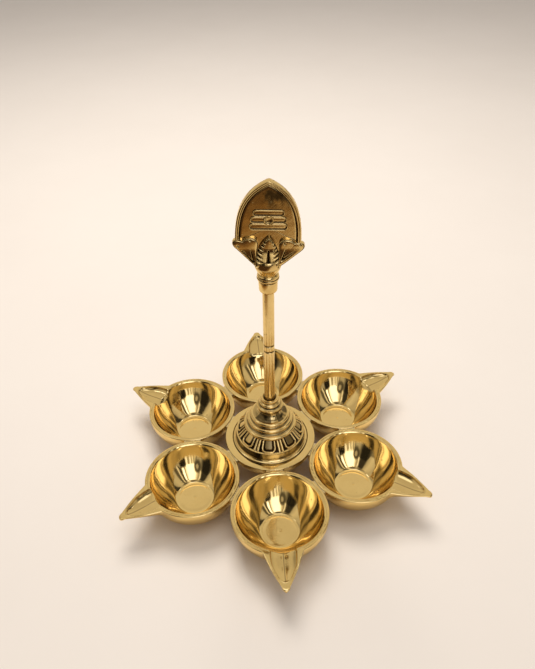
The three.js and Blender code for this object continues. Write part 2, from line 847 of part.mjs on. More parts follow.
function finialGeometry() {
  const front = -leafThickness / 2;
  const floor = front + leafRecess;
  const root = calyxTop - leafRootSink;
  let finial = solidOf(finialFoot());
  finial = finial.add(leafSolid(leafShape(0, root), front, -front, leafEdgeRound));
  finial = finial.subtract(leafSolid(leafShape(leafBorder, root), front - cutOver, floor));
  barLengths.forEach((length, i) => {
    const height = barMiddleHeight + (i - (barLengths.length - 1) / 2) * barPitch;
    finial = finial.add(leafSolid(barShape(length, height), floor - barLift, floor + sunk));
  });
  const dot = new THREE.Shape();
  dot.absarc(0, barMiddleHeight, dotRadius, 0, 2 * Math.PI, false);
  finial = finial.add(leafSolid(dot, floor - dotLift, floor + sunk));
  for (const side of [-1, 1]) {
    finial = finial.add(petalSolid(sidePetalShape(side), petalFront));
  }
  finial = finial.add(petalSolid(midPetalShape(), midPetalFront));
  return geometryOf(withoutSpecks(finial));
}

const finial = addPiece('finial', finialGeometry(), castBrass, centre);
finial.rotation.z = radians(finialTurn);

export default lamp;
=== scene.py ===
import json
from math import atan2, cos, exp, hypot, pi, radians, sin, sqrt

import bmesh
import bpy
from mathutils import Matrix, Vector, noise

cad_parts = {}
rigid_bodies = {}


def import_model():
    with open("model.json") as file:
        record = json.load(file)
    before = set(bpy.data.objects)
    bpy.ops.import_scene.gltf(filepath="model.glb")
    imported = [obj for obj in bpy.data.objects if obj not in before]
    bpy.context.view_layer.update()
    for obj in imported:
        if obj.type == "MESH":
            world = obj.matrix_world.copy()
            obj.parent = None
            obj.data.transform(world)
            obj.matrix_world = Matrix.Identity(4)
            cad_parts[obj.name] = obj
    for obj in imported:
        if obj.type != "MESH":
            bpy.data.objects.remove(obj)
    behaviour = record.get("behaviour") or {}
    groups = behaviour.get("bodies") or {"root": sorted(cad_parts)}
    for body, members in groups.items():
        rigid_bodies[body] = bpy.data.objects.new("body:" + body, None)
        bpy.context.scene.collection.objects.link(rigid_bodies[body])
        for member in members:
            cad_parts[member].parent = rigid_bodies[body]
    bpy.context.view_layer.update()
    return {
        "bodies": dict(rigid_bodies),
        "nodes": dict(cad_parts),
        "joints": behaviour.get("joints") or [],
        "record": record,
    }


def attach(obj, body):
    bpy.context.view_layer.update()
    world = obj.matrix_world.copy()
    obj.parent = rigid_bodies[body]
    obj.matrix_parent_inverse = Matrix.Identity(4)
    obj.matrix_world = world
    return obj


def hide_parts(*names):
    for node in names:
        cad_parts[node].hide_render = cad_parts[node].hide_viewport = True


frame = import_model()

# Brass six-bowl oil lamp. Sizes are in millimetres, and each mesh is made metres at the end.
millimetre = 0.001
rimHeight = 20.0          # the bowls' rims above the table; the stem's heights count from here


# Camera
camera = {
    "place": (-20.503, -239.471, 292.348),
    "right": (0.995654, -0.092390, -0.011758),
    "up": (0.068074, 0.635751, 0.768887),
    "forward": (0.063562, 0.766345, -0.639277),
    "lens": 34.645,
}


def addCamera():
    data = bpy.data.cameras.new("photo_camera")
    data.lens = camera["lens"]
    data.sensor_width = 36
    data.clip_start = 0.01
    data.clip_end = 50
    body = bpy.data.objects.new("photo_camera", data)
    bpy.context.scene.collection.objects.link(body)
    axes = (camera["right"], camera["up"], [-c for c in camera["forward"]])
    turn = Matrix([[axis[row] for axis in axes] for row in range(3)])
    body.matrix_world = Matrix.Translation(Vector(camera["place"]) * millimetre) @ turn.to_4x4()
    bpy.context.scene.camera = body


addCamera()
print("camera set")


# Small helpers for the meshes
def mix(a, b, share):
    return a + (b - a) * share


def clamp(value, low=0.0, high=1.0):
    return max(low, min(high, value))


def smooth(value, low, high):
    share = clamp((value - low) / (high - low))
    return share * share * (3 - 2 * share)


def softMax(a, b, width):
    gap = clamp(0.5 + 0.5 * (a - b) / width)
    return mix(b, a, gap) + width * gap * (1 - gap)


def bell(distance, width):
    return exp(-(distance / width) ** 2)


def rounded(points, steps=4):
    # Each point is (radius, height, fillet, darkness); a fillet cuts its corner with a small curve. The darkness is
    # patina in some places and painted shade or painted dark reflection in others
    out = []
    for index, point in enumerate(points):
        radius, height = point[:2]
        fillet = point[2] if len(point) > 2 else 0
        patina = point[3] if len(point) > 3 else 0
        if fillet == 0 or index in (0, len(points) - 1):
            out.append((radius, height, patina))
            continue
        corner = Vector((radius, height))
        before = Vector(points[index - 1][:2]) - corner
        after = Vector(points[index + 1][:2]) - corner
        start = corner + before.normalized() * min(fillet, before.length * 0.48)
        end = corner + after.normalized() * min(fillet, after.length * 0.48)
        for step in range(steps + 1):
            t = step / steps
            spot = start * (1 - t) ** 2 + corner * 2 * t * (1 - t) + end * t * t
            out.append((spot.x, spot.y, patina))
    return out


def spun(profile, around, closed=False):
    # Turns a profile about Z by an eighth and then doubles it three times, which is quicker than one full spin.
    # The layer "ring" keeps each vertex's place in the profile.
    bm = bmesh.new()
    ring = bm.verts.layers.float.new("ring")
    patina = bm.verts.layers.float.new("patina")
    line = []
    for index, point in enumerate(profile):
        vert = bm.verts.new((point[0], 0, point[1]))
        vert[ring] = index
        vert[patina] = point[2] if len(point) > 2 else 0
        line.append(vert)
    for a, b in zip(line, line[1:]):
        bm.edges.new((a, b))
    if closed:
        bm.edges.new((line[-1], line[0]))
    bmesh.ops.spin(bm, geom=bm.verts[:] + bm.edges[:], cent=(0, 0, 0), axis=(0, 0, 1),
                   angle=pi / 4, steps=around // 8, use_merge=False, use_duplicate=False)
    for share in (1, 2, 4):
        copied = bmesh.ops.duplicate(bm, geom=bm.verts[:] + bm.edges[:] + bm.faces[:])["geom"]
        fresh = [part for part in copied if isinstance(part, bmesh.types.BMVert)]
        bmesh.ops.rotate(bm, cent=(0, 0, 0), matrix=Matrix.Rotation(share * pi / 4, 3, "Z"), verts=fresh)
    bmesh.ops.remove_doubles(bm, verts=bm.verts[:], dist=1e-4)
    return bm


def addPiece(bm, name, place, material, body, node):
    # The layer "local" keeps each vertex's place about the piece's own turning axis, for the materials
    bmesh.ops.recalc_face_normals(bm, faces=bm.faces[:])
    local = bm.verts.layers.float_vector.new("local")
    for vert in bm.verts:
        vert[local] = vert.co.copy()
    bmesh.ops.transform(bm, matrix=place, verts=bm.verts[:])
    bmesh.ops.scale(bm, vec=(millimetre,) * 3, verts=bm.verts[:])
    for face in bm.faces:
        face.smooth = True
    mesh = bpy.data.meshes.new(name)
    bm.to_mesh(mesh)
    bm.free()
    mesh.materials.append(material)
    piece = bpy.data.objects.new(name, mesh)
    bpy.context.scene.collection.objects.link(piece)
    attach(piece, body)
    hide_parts(node)


def lift():
    return Matrix.Translation((0, 0, rimHeight))


# Shader nodes
def addNode(tree, kind, settings=None, **inputs):
    # An input goes by its name, with an underscore for a space, or by i and its number
    node = tree.nodes.new(kind)
    for key, value in (settings or {}).items():
        setattr(node, key, value)
    for key, value in inputs.items():
        numbered = key[0] == "i" and key[1:].isdigit()
        socket = node.inputs[int(key[1:]) if numbered else key.replace("_", " ")]
        if isinstance(value, bpy.types.NodeSocket):
            tree.links.new(value, socket)
        else:
            socket.default_value = value
    return node


def addMath(tree, operation, *values):
    inputs = {"i%d" % index: value for index, value in enumerate(values)}
    return addNode(tree, "ShaderNodeMath", {"operation": operation}, **inputs).outputs[0]


def addNoise(tree, place, scale, detail, roughness=0.5):
    return addNode(tree, "ShaderNodeTexNoise", Vector=place, Scale=scale, Detail=detail, Roughness=roughness).outputs[0]


def addRange(tree, value, low, high, toLow=0.0, toHigh=1.0, shape="LINEAR"):
    return addNode(tree, "ShaderNodeMapRange", {"interpolation_type": shape}, Value=value, From_Min=low, From_Max=high,
                   To_Min=toLow, To_Max=toHigh).outputs[0]


def addMix(tree, share, under, over, blend="MIX"):
    settings = {"data_type": "RGBA", "blend_type": blend}
    return addNode(tree, "ShaderNodeMix", settings, i0=share, i6=under, i7=over).outputs[2]


def addRamp(tree, source, stops):
    ramp = tree.nodes.new("ShaderNodeValToRGB")
    while len(ramp.color_ramp.elements) < len(stops):
        ramp.color_ramp.elements.new(0.5)
    for element, (position, shade) in zip(ramp.color_ramp.elements, stops):
        element.position = position
        element.color = shade if len(shade) == 4 else (*shade, 1)
    tree.links.new(source, ramp.inputs[0])
    return ramp.outputs[0]


def newGroup(name, takes, gives):
    # Gives back the group, the sockets that its inputs arrive at and the sockets that its outputs leave by
    group = bpy.data.node_groups.new(name, "ShaderNodeTree")
    kinds = {"value": "NodeSocketFloat", "vector": "NodeSocketVector", "colour": "NodeSocketColor"}
    for way, sockets in (("INPUT", takes), ("OUTPUT", gives)):
        for label, kind in sockets.items():
            group.interface.new_socket(label, in_out=way, socket_type=kinds[kind])
    return group, group.nodes.new("NodeGroupInput").outputs, group.nodes.new("NodeGroupOutput").inputs


def makeTurningMarks():
    # Fine rings left by the lathe, read from a piece's own place about its axis
    group, given, gives = newGroup(
        "turning marks", {"Place": "vector", "Rings": "value", "Grain": "value", "Wave": "value"}, {"Height": "value"})
    parts = addNode(group, "ShaderNodeSeparateXYZ", Vector=given["Place"]).outputs
    flat = addNode(group, "ShaderNodeCombineXYZ", X=parts[0], Y=parts[1]).outputs[0]
    radius = addNode(group, "ShaderNodeVectorMath", {"operation": "LENGTH"}, i0=flat).outputs["Value"]
    along = addMath(group, "SUBTRACT", radius, parts[2])
    lines = addNode(group, "ShaderNodeTexNoise", {"noise_dimensions": "1D"},
                    W=addMath(group, "MULTIPLY", along, given["Rings"]), Scale=1.0, Detail=3.0, Roughness=0.6)
    grain = addMath(group, "MULTIPLY", addNoise(group, given["Place"], 0.35, 4.0, 0.55), given["Grain"])
    slow = addNoise(group, given["Place"], 0.14, 1.0)
    uneven = addMath(group, "MULTIPLY_ADD", slow, given["Wave"], lines.outputs[0])
    group.links.new(addMath(group, "ADD", uneven, grain), gives["Height"])
    return group


def makeTarnishAndShade():
    # Old polish and oxide in soft cloudy patches, and dark where the patina layer says; that layer holds real patina
    # and also painted shade and painted dark reflections
    group, given, gives = newGroup(
        "tarnishAndShade",
        {"Place": "vector", "Patina": "value", "Bright": "colour", "Dull": "colour", "Dark": "colour",
         "Cloud": "value", "Smooth": "value", "Rough": "value"},
        {"Colour": "colour", "Roughness": "value"})
    cloudy = addRange(group, addNoise(group, given["Place"], 0.12, 5.0, 0.6), 0.42, 0.68)
    amount = addMath(group, "MULTIPLY", cloudy, given["Cloud"])
    base = addMix(group, amount, given["Bright"], given["Dull"])
    group.links.new(addMix(group, given["Patina"], base, given["Dark"]), gives["Colour"])
    span = addMath(group, "MAXIMUM", amount, given["Patina"])
    group.links.new(addRange(group, span, 0.0, 1.0, given["Smooth"], given["Rough"]), gives["Roughness"])
    return group


def makePits():
    # Scattered casting pits and dings
    group, given, gives = newGroup("casting pits", {"Place": "vector", "Scale": "value", "Cover": "value"},
                                   {"Height": "value", "Mask": "value"})
    cells = addNode(group, "ShaderNodeTexVoronoi", Vector=given["Place"], Scale=given["Scale"], Randomness=1.0)
    pit = addRange(group, cells.outputs["Distance"], 0.0, 0.16, 1.0, 0.0)
    here = addMath(group, "GREATER_THAN", addNoise(group, given["Place"], 0.22, 2.0), given["Cover"])
    mask = addMath(group, "MULTIPLY", pit, here)
    group.links.new(addMath(group, "MULTIPLY", mask, -1.0), gives["Height"])
    group.links.new(mask, gives["Mask"])
    return group


turningMarks = makeTurningMarks()
tarnishAndShade = makeTarnishAndShade()
castingPits = makePits()

polishedBrassLook = {
    "bright": (0.86, 0.68, 0.36, 1), "dull": (0.78, 0.58, 0.27, 1), "dark": (0.05, 0.022, 0.006, 1),
    "cloud": 0.3, "smooth": 0.06, "rough": 0.15, "rings": 5.0, "grain": 0.4, "wave": 14.0, "ringDepth": 0.006,
    "pitScale": 0.42, "pitCover": 0.62, "pitDepth": 0.10,
}
castBrassLook = {
    "bright": (0.84, 0.65, 0.34, 1), "dull": (0.62, 0.42, 0.17, 1), "dark": (0.016, 0.008, 0.003, 1),
    "cloud": 0.5, "smooth": 0.09, "rough": 0.26, "rings": 3.0, "grain": 2.0, "wave": 4.0, "ringDepth": 0.012,
    "pitScale": 0.55, "pitCover": 0.55, "pitDepth": 0.14,
}
rodBrassLook = {
    "bright": (0.86, 0.68, 0.38, 1), "dull": (0.70, 0.50, 0.22, 1), "dark": (0.03, 0.014, 0.005, 1),
    "cloud": 0.6, "smooth": 0.14, "rough": 0.3, "rings": 6.0, "grain": 1.0, "wave": 3.0, "ringDepth": 0.015,
    "pitScale": 0.5, "pitCover": 0.5, "pitDepth": 0.16,
}
brazeLook = {
    "bright": (0.86, 0.74, 0.50, 1), "dull": (0.62, 0.48, 0.25, 1), "dark": (0.05, 0.025, 0.008, 1),
    "cloud": 0.7, "smooth": 0.22, "rough": 0.42, "rings": 1.0, "grain": 3.0, "wave": 1.0, "ringDepth": 0.05,
    "pitScale": 0.8, "pitCover": 0.45, "pitDepth": 0.2,
}
steelLook = {
    "bright": (0.56, 0.56, 0.57, 1), "dull": (0.38, 0.36, 0.33, 1), "dark": (0.06, 0.04, 0.03, 1),
    "cloud": 0.7, "smooth": 0.28, "rough": 0.5, "rings": 4.0, "grain": 1.0, "wave": 1.0, "ringDepth": 0.03,
    "pitScale": 0.8, "pitCover": 0.5, "pitDepth": 0.1,
}


def makeMetal(name, look, fromLayer=True):
    # The pieces that keep their solids have no layers, so they take their place from object coordinates
    material = bpy.data.materials.new(name)
    material.use_nodes = True
    tree = material.node_tree
    shader = tree.nodes["Principled BSDF"]
    shader.inputs["Metallic"].default_value = 1
    # The patina layer holds real patina and also painted shade and painted dark reflections
    if fromLayer:
        place = addNode(tree, "ShaderNodeAttribute", {"attribute_name": "local"}).outputs["Vector"]
        patina = addNode(tree, "ShaderNodeAttribute", {"attribute_name": "patina"}).outputs["Fac"]
    else:
        metres = addNode(tree, "ShaderNodeTexCoord").outputs["Object"]
        scaled = addNode(tree, "ShaderNodeVectorMath", {"operation": "SCALE"}, i0=metres, Scale=1 / millimetre)
        place = scaled.outputs[0]
        patina = 0.0
    marks = addNode(tree, "ShaderNodeGroup", {"node_tree": turningMarks}, Place=place, Rings=look["rings"],
                    Grain=look["grain"], Wave=look["wave"])
    pits = addNode(tree, "ShaderNodeGroup", {"node_tree": castingPits}, Place=place, Scale=look["pitScale"],
                   Cover=look["pitCover"])
    skin = addNode(tree, "ShaderNodeGroup", {"node_tree": tarnishAndShade}, Place=place,
                   Patina=addMath(tree, "MAXIMUM", pits.outputs["Mask"], patina),
                   Bright=look["bright"], Dull=look["dull"], Dark=look["dark"], Cloud=look["cloud"],
                   Smooth=look["smooth"], Rough=look["rough"])
    lines = addNode(tree, "ShaderNodeBump", Strength=1.0, Distance=look["ringDepth"] * millimetre,
                    Height=marks.outputs["Height"])
    dents = addNode(tree, "ShaderNodeBump", Strength=1.0, Distance=look["pitDepth"] * millimetre,
                    Height=pits.outputs["Height"], Normal=lines.outputs[0])
    tree.links.new(skin.outputs["Colour"], shader.inputs["Base Color"])
    tree.links.new(skin.outputs["Roughness"], shader.inputs["Roughness"])
    tree.links.new(dents.outputs[0], shader.inputs["Normal"])
    return material


polishedBrass = makeMetal("polished brass", polishedBrassLook)
castBrass = makeMetal("cast brass", castBrassLook)
rodBrass = makeMetal("rod brass", rodBrassLook)
brazeMetal = makeMetal("braze metal", brazeLook, fromLayer=False)
plainSteel = makeMetal("plain steel", steelLook, fromLayer=False)
print("materials made")


# Bowls
bowl = {
    "count": 6, "ringRadius": 50.0, "radius": 24.75, "depth": 17.5, "floor": 2.5, "lip": 2.1, "band": 2.2,
    "foot": 10.0, "footRise": 0.25, "footTarnish": 0.3, "flatFloor": 9.9, "fullness": 1.6, "innerFullness": 1.3,
    "edgeRound": 0.12, "lipStep": 0.5, "lipBlend": 0.8, "leastLip": 1.2, "turnedWall": 20.8,
    "lineFromEdge": 0.55, "lineDepth": 0.04, "lineWidth": 0.07, "lineTarnish": 0.4, "lineTarnishWidth": 0.08,
    "floorLine": 8.9, "floorLineDepth": 0.02, "floorLineWidth": 0.06, "dimple": 0.8, "dimpleDepth": 0.12,
    "turns": (-2, -3, -3.5, 0.5, -2, -0.5), "around": 192, "gather": 0.8,
}
spout = {
    "reach": 41.9, "width": 19.6, "drop": 1.5, "tipRadius": 2.0, "tipDepth": 1.8, "rootDepth": 8.5, "lip": 1.2,
    "bulge": 0.5, "bellyFade": 1.4, "troughWidth": 13.0, "troughDepth": 2.8, "troughEnd": 4.2, "taper": 2.8,
    "endRound": 0.62, "fullness": 2.6, "crease": 0.1, "creaseWidth": 0.3, "wallBlend": 0.12, "narrowest": 0.2,
    "stain": 0.1, "creaseStain": 0.55, "creaseStainWidth": 0.2, "sideStain": 0.15,
}
mouth = bowl["radius"] - bowl["lip"]
nose = spout["reach"] - spout["tipRadius"]
troughStart = bowl["radius"] - 2 * bowl["lip"]


def bowlOutside(depth):
    share = clamp((depth - bowl["band"]) / (bowl["depth"] + bowl["floor"] - bowl["band"]))
    full = bowl["fullness"]
    return bowl["foot"] + (bowl["radius"] - bowl["foot"]) * (1 - share ** full) ** (1 / full)


def wallDepth(radius):
    # How deep the bowl's inner wall is at a radius
    if radius >= mouth:
        return 0.0
    if radius >= mouth - bowl["lipStep"]:
        return mouth - radius
    share = clamp((radius - bowl["flatFloor"]) / (mouth - bowl["lipStep"] - bowl["flatFloor"]))
    full = bowl["innerFullness"]
    return bowl["lipStep"] + (bowl["depth"] - bowl["lipStep"]) * (1 - share ** full) ** (1 / full)


def spoutHalf(x):
    if x > nose:
        return sqrt(max(0, spout["tipRadius"] ** 2 - (x - nose) ** 2))
    share = clamp((nose - x) / (nose - mouth))
    return mix(spout["tipRadius"], spout["width"] / 2, share) + spout["bulge"] * sin(pi * share)


def bellyDepth(x):
    share = clamp((x - mouth) / (nose - mouth))
    return spout["tipDepth"] + (spout["rootDepth"] - spout["tipDepth"]) * (1 - share) ** spout["bellyFade"]


def troughShare(x):
    return clamp((x - troughStart) / (spout["reach"] - spout["troughEnd"] - troughStart))


def troughHalf(x):
    own = spout["troughWidth"] / 2 * (1 - troughShare(x) ** spout["taper"]) ** spout["endRound"]
    return max(0, min(own, spoutHalf(x) - spout["lip"]))


def farthest(turn, halfAt, reach):
    # The farthest point along a ray from the bowl's axis that lies within a half width about X
    c, s = cos(turn), abs(sin(turn))
    if c <= spout["narrowest"]:
        return 0.0
    step = 0.5
    distance = reach
    while distance > 0 and distance * s >= halfAt(distance * c):
        distance -= step
    if distance <= 0:
        return 0.0
    low, high = distance, min(reach, distance + step)
    for _ in range(14):
        middle = (low + high) / 2
        if middle * s < halfAt(middle * c):
            low = middle
        else:
            high = middle
    return low


def outsideReach(turn, depth):
    def half(x):
        share = clamp(depth / bellyDepth(x))
        return spoutHalf(x) * sqrt(1 - share * share)
    body = bowlOutside(depth)
    spur = farthest(turn, half, spout["reach"])
    if spur < bowl["foot"]:
        return body
    return softMax(body, spur, mix(0.5, 2.2, smooth(depth, 0, 4)))


def troughDepth(radius, turn):
    x, y = radius * cos(turn), abs(radius * sin(turn))
    half = troughHalf(x)
    if half <= 0.01 or y >= half or cos(turn) < spout["narrowest"]:
        return 0.0
    section = (1 - (y / half) ** spout["fullness"]) ** (1 / spout["fullness"])
    crease = spout["crease"] * bell(y, spout["creaseWidth"])
    return (spout["troughDepth"] * section + crease) * sqrt(1 - troughShare(x) ** 3)


def spoutFall(radius):
    return spout["drop"] * max(0, (radius - bowl["radius"]) / (spout["reach"] - bowl["radius"]))


def bowlRings():
    # Each ring is a name and a number that says where it lies
    rings = [("foot", r) for r in (0, 4, 8, 9.4)]
    rings += [("outside", d) for d in (19.97, 19.8, 19.4, 18.8, 18, 17, 15.8, 14.4, 13, 11.6, 10.2, 9, 8, 7.2, 6.4,
                                       5.6, 4.8, 4, 3.4, 2.8, 2.2, 1.7, 1.2, 0.7, 0.3, 0.1)]
    rings += [("lip", s) for s in (0.12, 0.3, 0.5)]
    rings += [("edge", d) for d in (1.0, 0.75, 0.66, 0.6, 0.54, 0.48, 0.3, 0.14, 0.04)]
    rings += [("trough", s / 20) for s in range(21)]
    rings += [("inside", s / 16) for s in range(1, 17)]
    rings += [("floor", r) for r in (9.7, 9.3, 9.0, 8.9, 8.8, 7, 5, 3, 1.6, 0.8, 0.6, 0.4, 0.2, 0)]
    return rings


def placeBowlRing(kind, where, turn, outer, inner):
    # Gives a radius, a height and the tarnish; outer and inner are the lip's two edges along this ray
    if kind == "foot":
        height = -(bowl["depth"] + bowl["floor"]) + bowl["footRise"] * (1 - smooth(where, 6, 9.4))
        return where, height, bowl["footTarnish"]
    if kind == "outside":
        reach = outsideReach(turn, where)
        return reach - bowl["edgeRound"] * (1 - smooth(where, 0.0, 0.3)), -where - spoutFall(reach), 0
    if kind == "lip":
        radius = mix(outer - bowl["edgeRound"], inner, where)
        return radius, -spoutFall(radius), 0
    if kind == "edge":
        radius = inner + where
        fromLine = where - bowl["lineFromEdge"]
        height = -spoutFall(radius) - bowl["lineDepth"] * bell(fromLine, bowl["lineWidth"])
        return radius, height, bowl["lineTarnish"] * bell(fromLine, bowl["lineTarnishWidth"])
    if kind == "trough":
        radius = mix(inner, bowl["turnedWall"], where ** 1.7)
        wall, trough = wallDepth(radius), troughDepth(radius, turn)
        height = -softMax(wall, trough, spout["wallBlend"]) - spoutFall(radius)
        side = abs(radius * sin(turn))
        half = max(0.1, troughHalf(radius * cos(turn)))
        stain = spout["stain"] + spout["creaseStain"] * bell(side, spout["creaseStainWidth"])
        stain += spout["sideStain"] * smooth(side / half, 0.75, 0.93)
        return radius, height, stain * smooth(trough - wall, 0.05, 0.4) * smooth(trough, 0.2, 0.8)
    if kind == "inside":
        depth = mix(wallDepth(bowl["turnedWall"]), bowl["depth"], sin(where * pi / 2))
        full = bowl["innerFullness"]
        down = clamp((depth - bowl["lipStep"]) / (bowl["depth"] - bowl["lipStep"]))
        wide = mouth - bowl["lipStep"] - bowl["flatFloor"]
        return bowl["flatFloor"] + wide * (1 - down ** full) ** (1 / full), -depth, 0
    line = bowl["floorLineDepth"] * bell(where - bowl["floorLine"], bowl["floorLineWidth"])
    dimple = bowl["dimpleDepth"] * (1 - smooth(where, 0, bowl["dimple"]))
    return where, -bowl["depth"] - line - dimple, 0


def bowlMesh():
    # A spun stand-in profile gives the faces, and each vertex is then placed by its ring and its turn
    rings = bowlRings()
    bm = spun([(1 + index * 0.1, index * 0.1) for index in range(len(rings))], bowl["around"])
    ring = bm.verts.layers.float["ring"]
    patina = bm.verts.layers.float["patina"]
    edges = {}
    for vert in bm.verts:
        kind, where = rings[round(vert[ring])]
        turn = atan2(vert.co.y, vert.co.x)
        turn -= bowl["gather"] * sin(turn)
        key = round(turn, 5)
        if key not in edges:
            outer = outsideReach(turn, 0)
            inner = softMax(mouth, farthest(turn, troughHalf, spout["reach"]), bowl["lipBlend"])
            edges[key] = (outer, min(inner, outer - bowl["leastLip"]))
        outer, inner = edges[key]
        radius, height, dark = placeBowlRing(kind, where, turn, outer, inner)
        vert.co = (radius * cos(turn), radius * sin(turn), height)
        vert[patina] = dark
    bmesh.ops.remove_doubles(bm, verts=bm.verts[:], dist=1e-4)
    return bm


def makeBowls():
    shape = bowlMesh()
    for index, turn in enumerate(bowl["turns"]):
        direction = Matrix.Rotation(radians(-90 + index * 360 / bowl["count"]), 4, "Z")
        spot = (direction @ Matrix.Translation((bowl["ringRadius"], 0, rimHeight))
                @ Matrix.Rotation(radians(turn), 4, "Z"))
        number = index + 1
        addPiece(shape.copy(), "turned_bowl_%d" % number, spot, polishedBrass, "lamp", "bowl_%d" % number)
    shape.free()


makeBowls()
print("bowls made")


# Centre cup and its wide flat lip
cup = {"radius": 24.75, "lip": 4.0, "depth": 12.0, "floor": 2.0, "foot": 9.5, "seatDepth": 3.0, "seatWidth": 2.2,
       "hole": 2.07, "around": 160, "band": 2.2, "fullness": 1.6}


def quarterCurve(wide, high, narrow, low, fullness, steps):
    points = []
    for step in range(steps + 1):
        angle = step / steps * pi / 2
        points.append((narrow + (wide - narrow) * cos(angle) ** (2 / fullness),
                       high - (high - low) * sin(angle) ** (2 / fullness)))
    return points


def makeCup():
    under = -cup["depth"] - cup["floor"]
    edge = cup["radius"] - cup["lip"]
    outside = quarterCurve(cup["radius"], -cup["band"], cup["foot"], under, cup["fullness"], 24)
    inside = quarterCurve(edge - cup["seatWidth"], -cup["seatDepth"], cup["foot"] - cup["floor"], -cup["depth"],
                          cup["fullness"], 16)
    profile = [(cup["hole"], under)] + outside[::-1]
    profile += rounded([(cup["radius"], -0.8), (cup["radius"], 0, 0.35), (edge + 0.7, 0)])
    profile += rounded([(edge + 0.5, 0), (edge, 0, 0.35), (edge, -cup["seatDepth"], 0.2), inside[0]])
    profile += inside[1:] + [(cup["hole"], -cup["depth"])]
    addPiece(spun(profile, cup["around"], closed=True), "turned_cup", lift(), polishedBrass, "lamp", "centre_cup")


makeCup()
print("cup made")


# Boss
boss = {
    "around": 560, "turn": -8, "foot": 20.4, "seat": 3.0, "wall": 2.0,
    "shoulder": 18.4, "shoulderHeight": 5.2, "skirtHeight": 1.5, "skirtStep": 0.5,
    "rings": ((14.3, 11.5), (12.25, 14.8), (10.5, 17.6)), "ringSize": 1.1,
    "waist": 5.6, "waistHeight": 22.6, "disc": 7.0, "discHeight": 24.8, "discThickness": 0.9,
    "bead": 5.6, "beadHeight": 26.8, "beadSize": 0.9, "socket": 4.7, "socketEdge": 0.3, "height": 30.2,
    "mouthDepth": 0.6, "mouthWidth": 0.7, "hole": 2.87, "tenonHole": 2.07, "stemSeat": 26.8,
    "panels": 8, "bandSteps": 36, "relief": 0.7,
    "outerFrame": (3.75, 2.75), "innerFrame": (2.45, 1.75), "frameLow": 0.95, "innerLow": 2.2, "frameRound": 2.0,
    "ridge": 0.5, "fieldHeight": 0.55, "ribFromSeam": 0.98, "ribHalf": 0.62, "ribTaper": 0.72, "zeroHeight": 0.55,
    # Painted dark reflections: in the panels' fields, their least and most and the turn where they are strongest, then
    # on the low wall and on the neck
    "fieldDarkReflection": (0.1, 0.78), "fieldDarkReflectionTurn": 55, "paintedWallReflection": 0.92, "paintedNeckReflection": 0.9,
    # How many points of the foot's profile the fillet takes, and how many the thin lip above the wall
    "filletPoints": 11, "lipPoints": 8,
}


def halfRound(radius, middle, size, steps=8):
    return [(radius - size + size * cos(a), middle + size * sin(a), 0)
            for a in (-pi / 2 + pi * step / steps for step in range(steps + 1))]


def frameDistance(across, along, half, low, corner):
    # Distance to a U whose round end lies at the foot of the sloping band
    q = Vector((abs(across) - (half - corner), (low + corner) - along))
    if q.x > 0 and q.y > 0:
        return q.length - corner
    return max(q.x, q.y) - corner


def panelRelief(turn, along, length, radius):
    # The raised lines of one panel: two U frames, and a rib on each side of the seam between panels
    period = 2 * pi / boss["panels"]
    across = ((turn + pi / 2 + period / 2) % period - period / 2) * radius
    share = along / length
    taper = mix(1, boss["ribTaper"], share)
    frame = frameDistance(across, along, mix(*boss["outerFrame"], share), boss["frameLow"], boss["frameRound"])
    field = frameDistance(across, along, mix(*boss["innerFrame"], share), boss["innerLow"], boss["frameRound"] * 0.6)
    rib = period / 2 * radius - abs(across) - boss["ribFromSeam"] * taper
    height = sqrt(max(0, 1 - (frame / boss["ridge"]) ** 2))
    height = max(height, (1 - min(1, abs(rib) / (boss["ribHalf"] * taper)) ** 4) ** 0.5)
    height = max(height, boss["fieldHeight"] * smooth(-field, 0, 0.3))
    dark = 1 - smooth(height, 0.25, 0.6)
    if field < 0:
        # Painted dark reflection in the field, strongest on the side that faces front and right
        fieldDarkReflection = mix(*boss["fieldDarkReflection"], smooth(cos(turn + radians(boss["fieldDarkReflectionTurn"])), 0.2, 0.9))
        dark = max(dark, 0.5 * (1 - smooth(-field, 0.3, 0.9)), fieldDarkReflection * smooth(-field, 0.1, 0.3))
    fade = smooth(along, 0.25, 0.7) * (1 - smooth(along, length - 0.45, length - 0.1))
    return height * fade, dark * fade


def paintedWallReflection(turn, height):
    # Painted dark reflection on the low wall below the panels, broken by clouds where the metal stays bright
    cloud = noise.noise(Vector((cos(turn) * 2.2, sin(turn) * 2.2 + 0.9, height * 0.15)))
    return boss["paintedWallReflection"] * smooth(cloud, -0.12, 0.02)


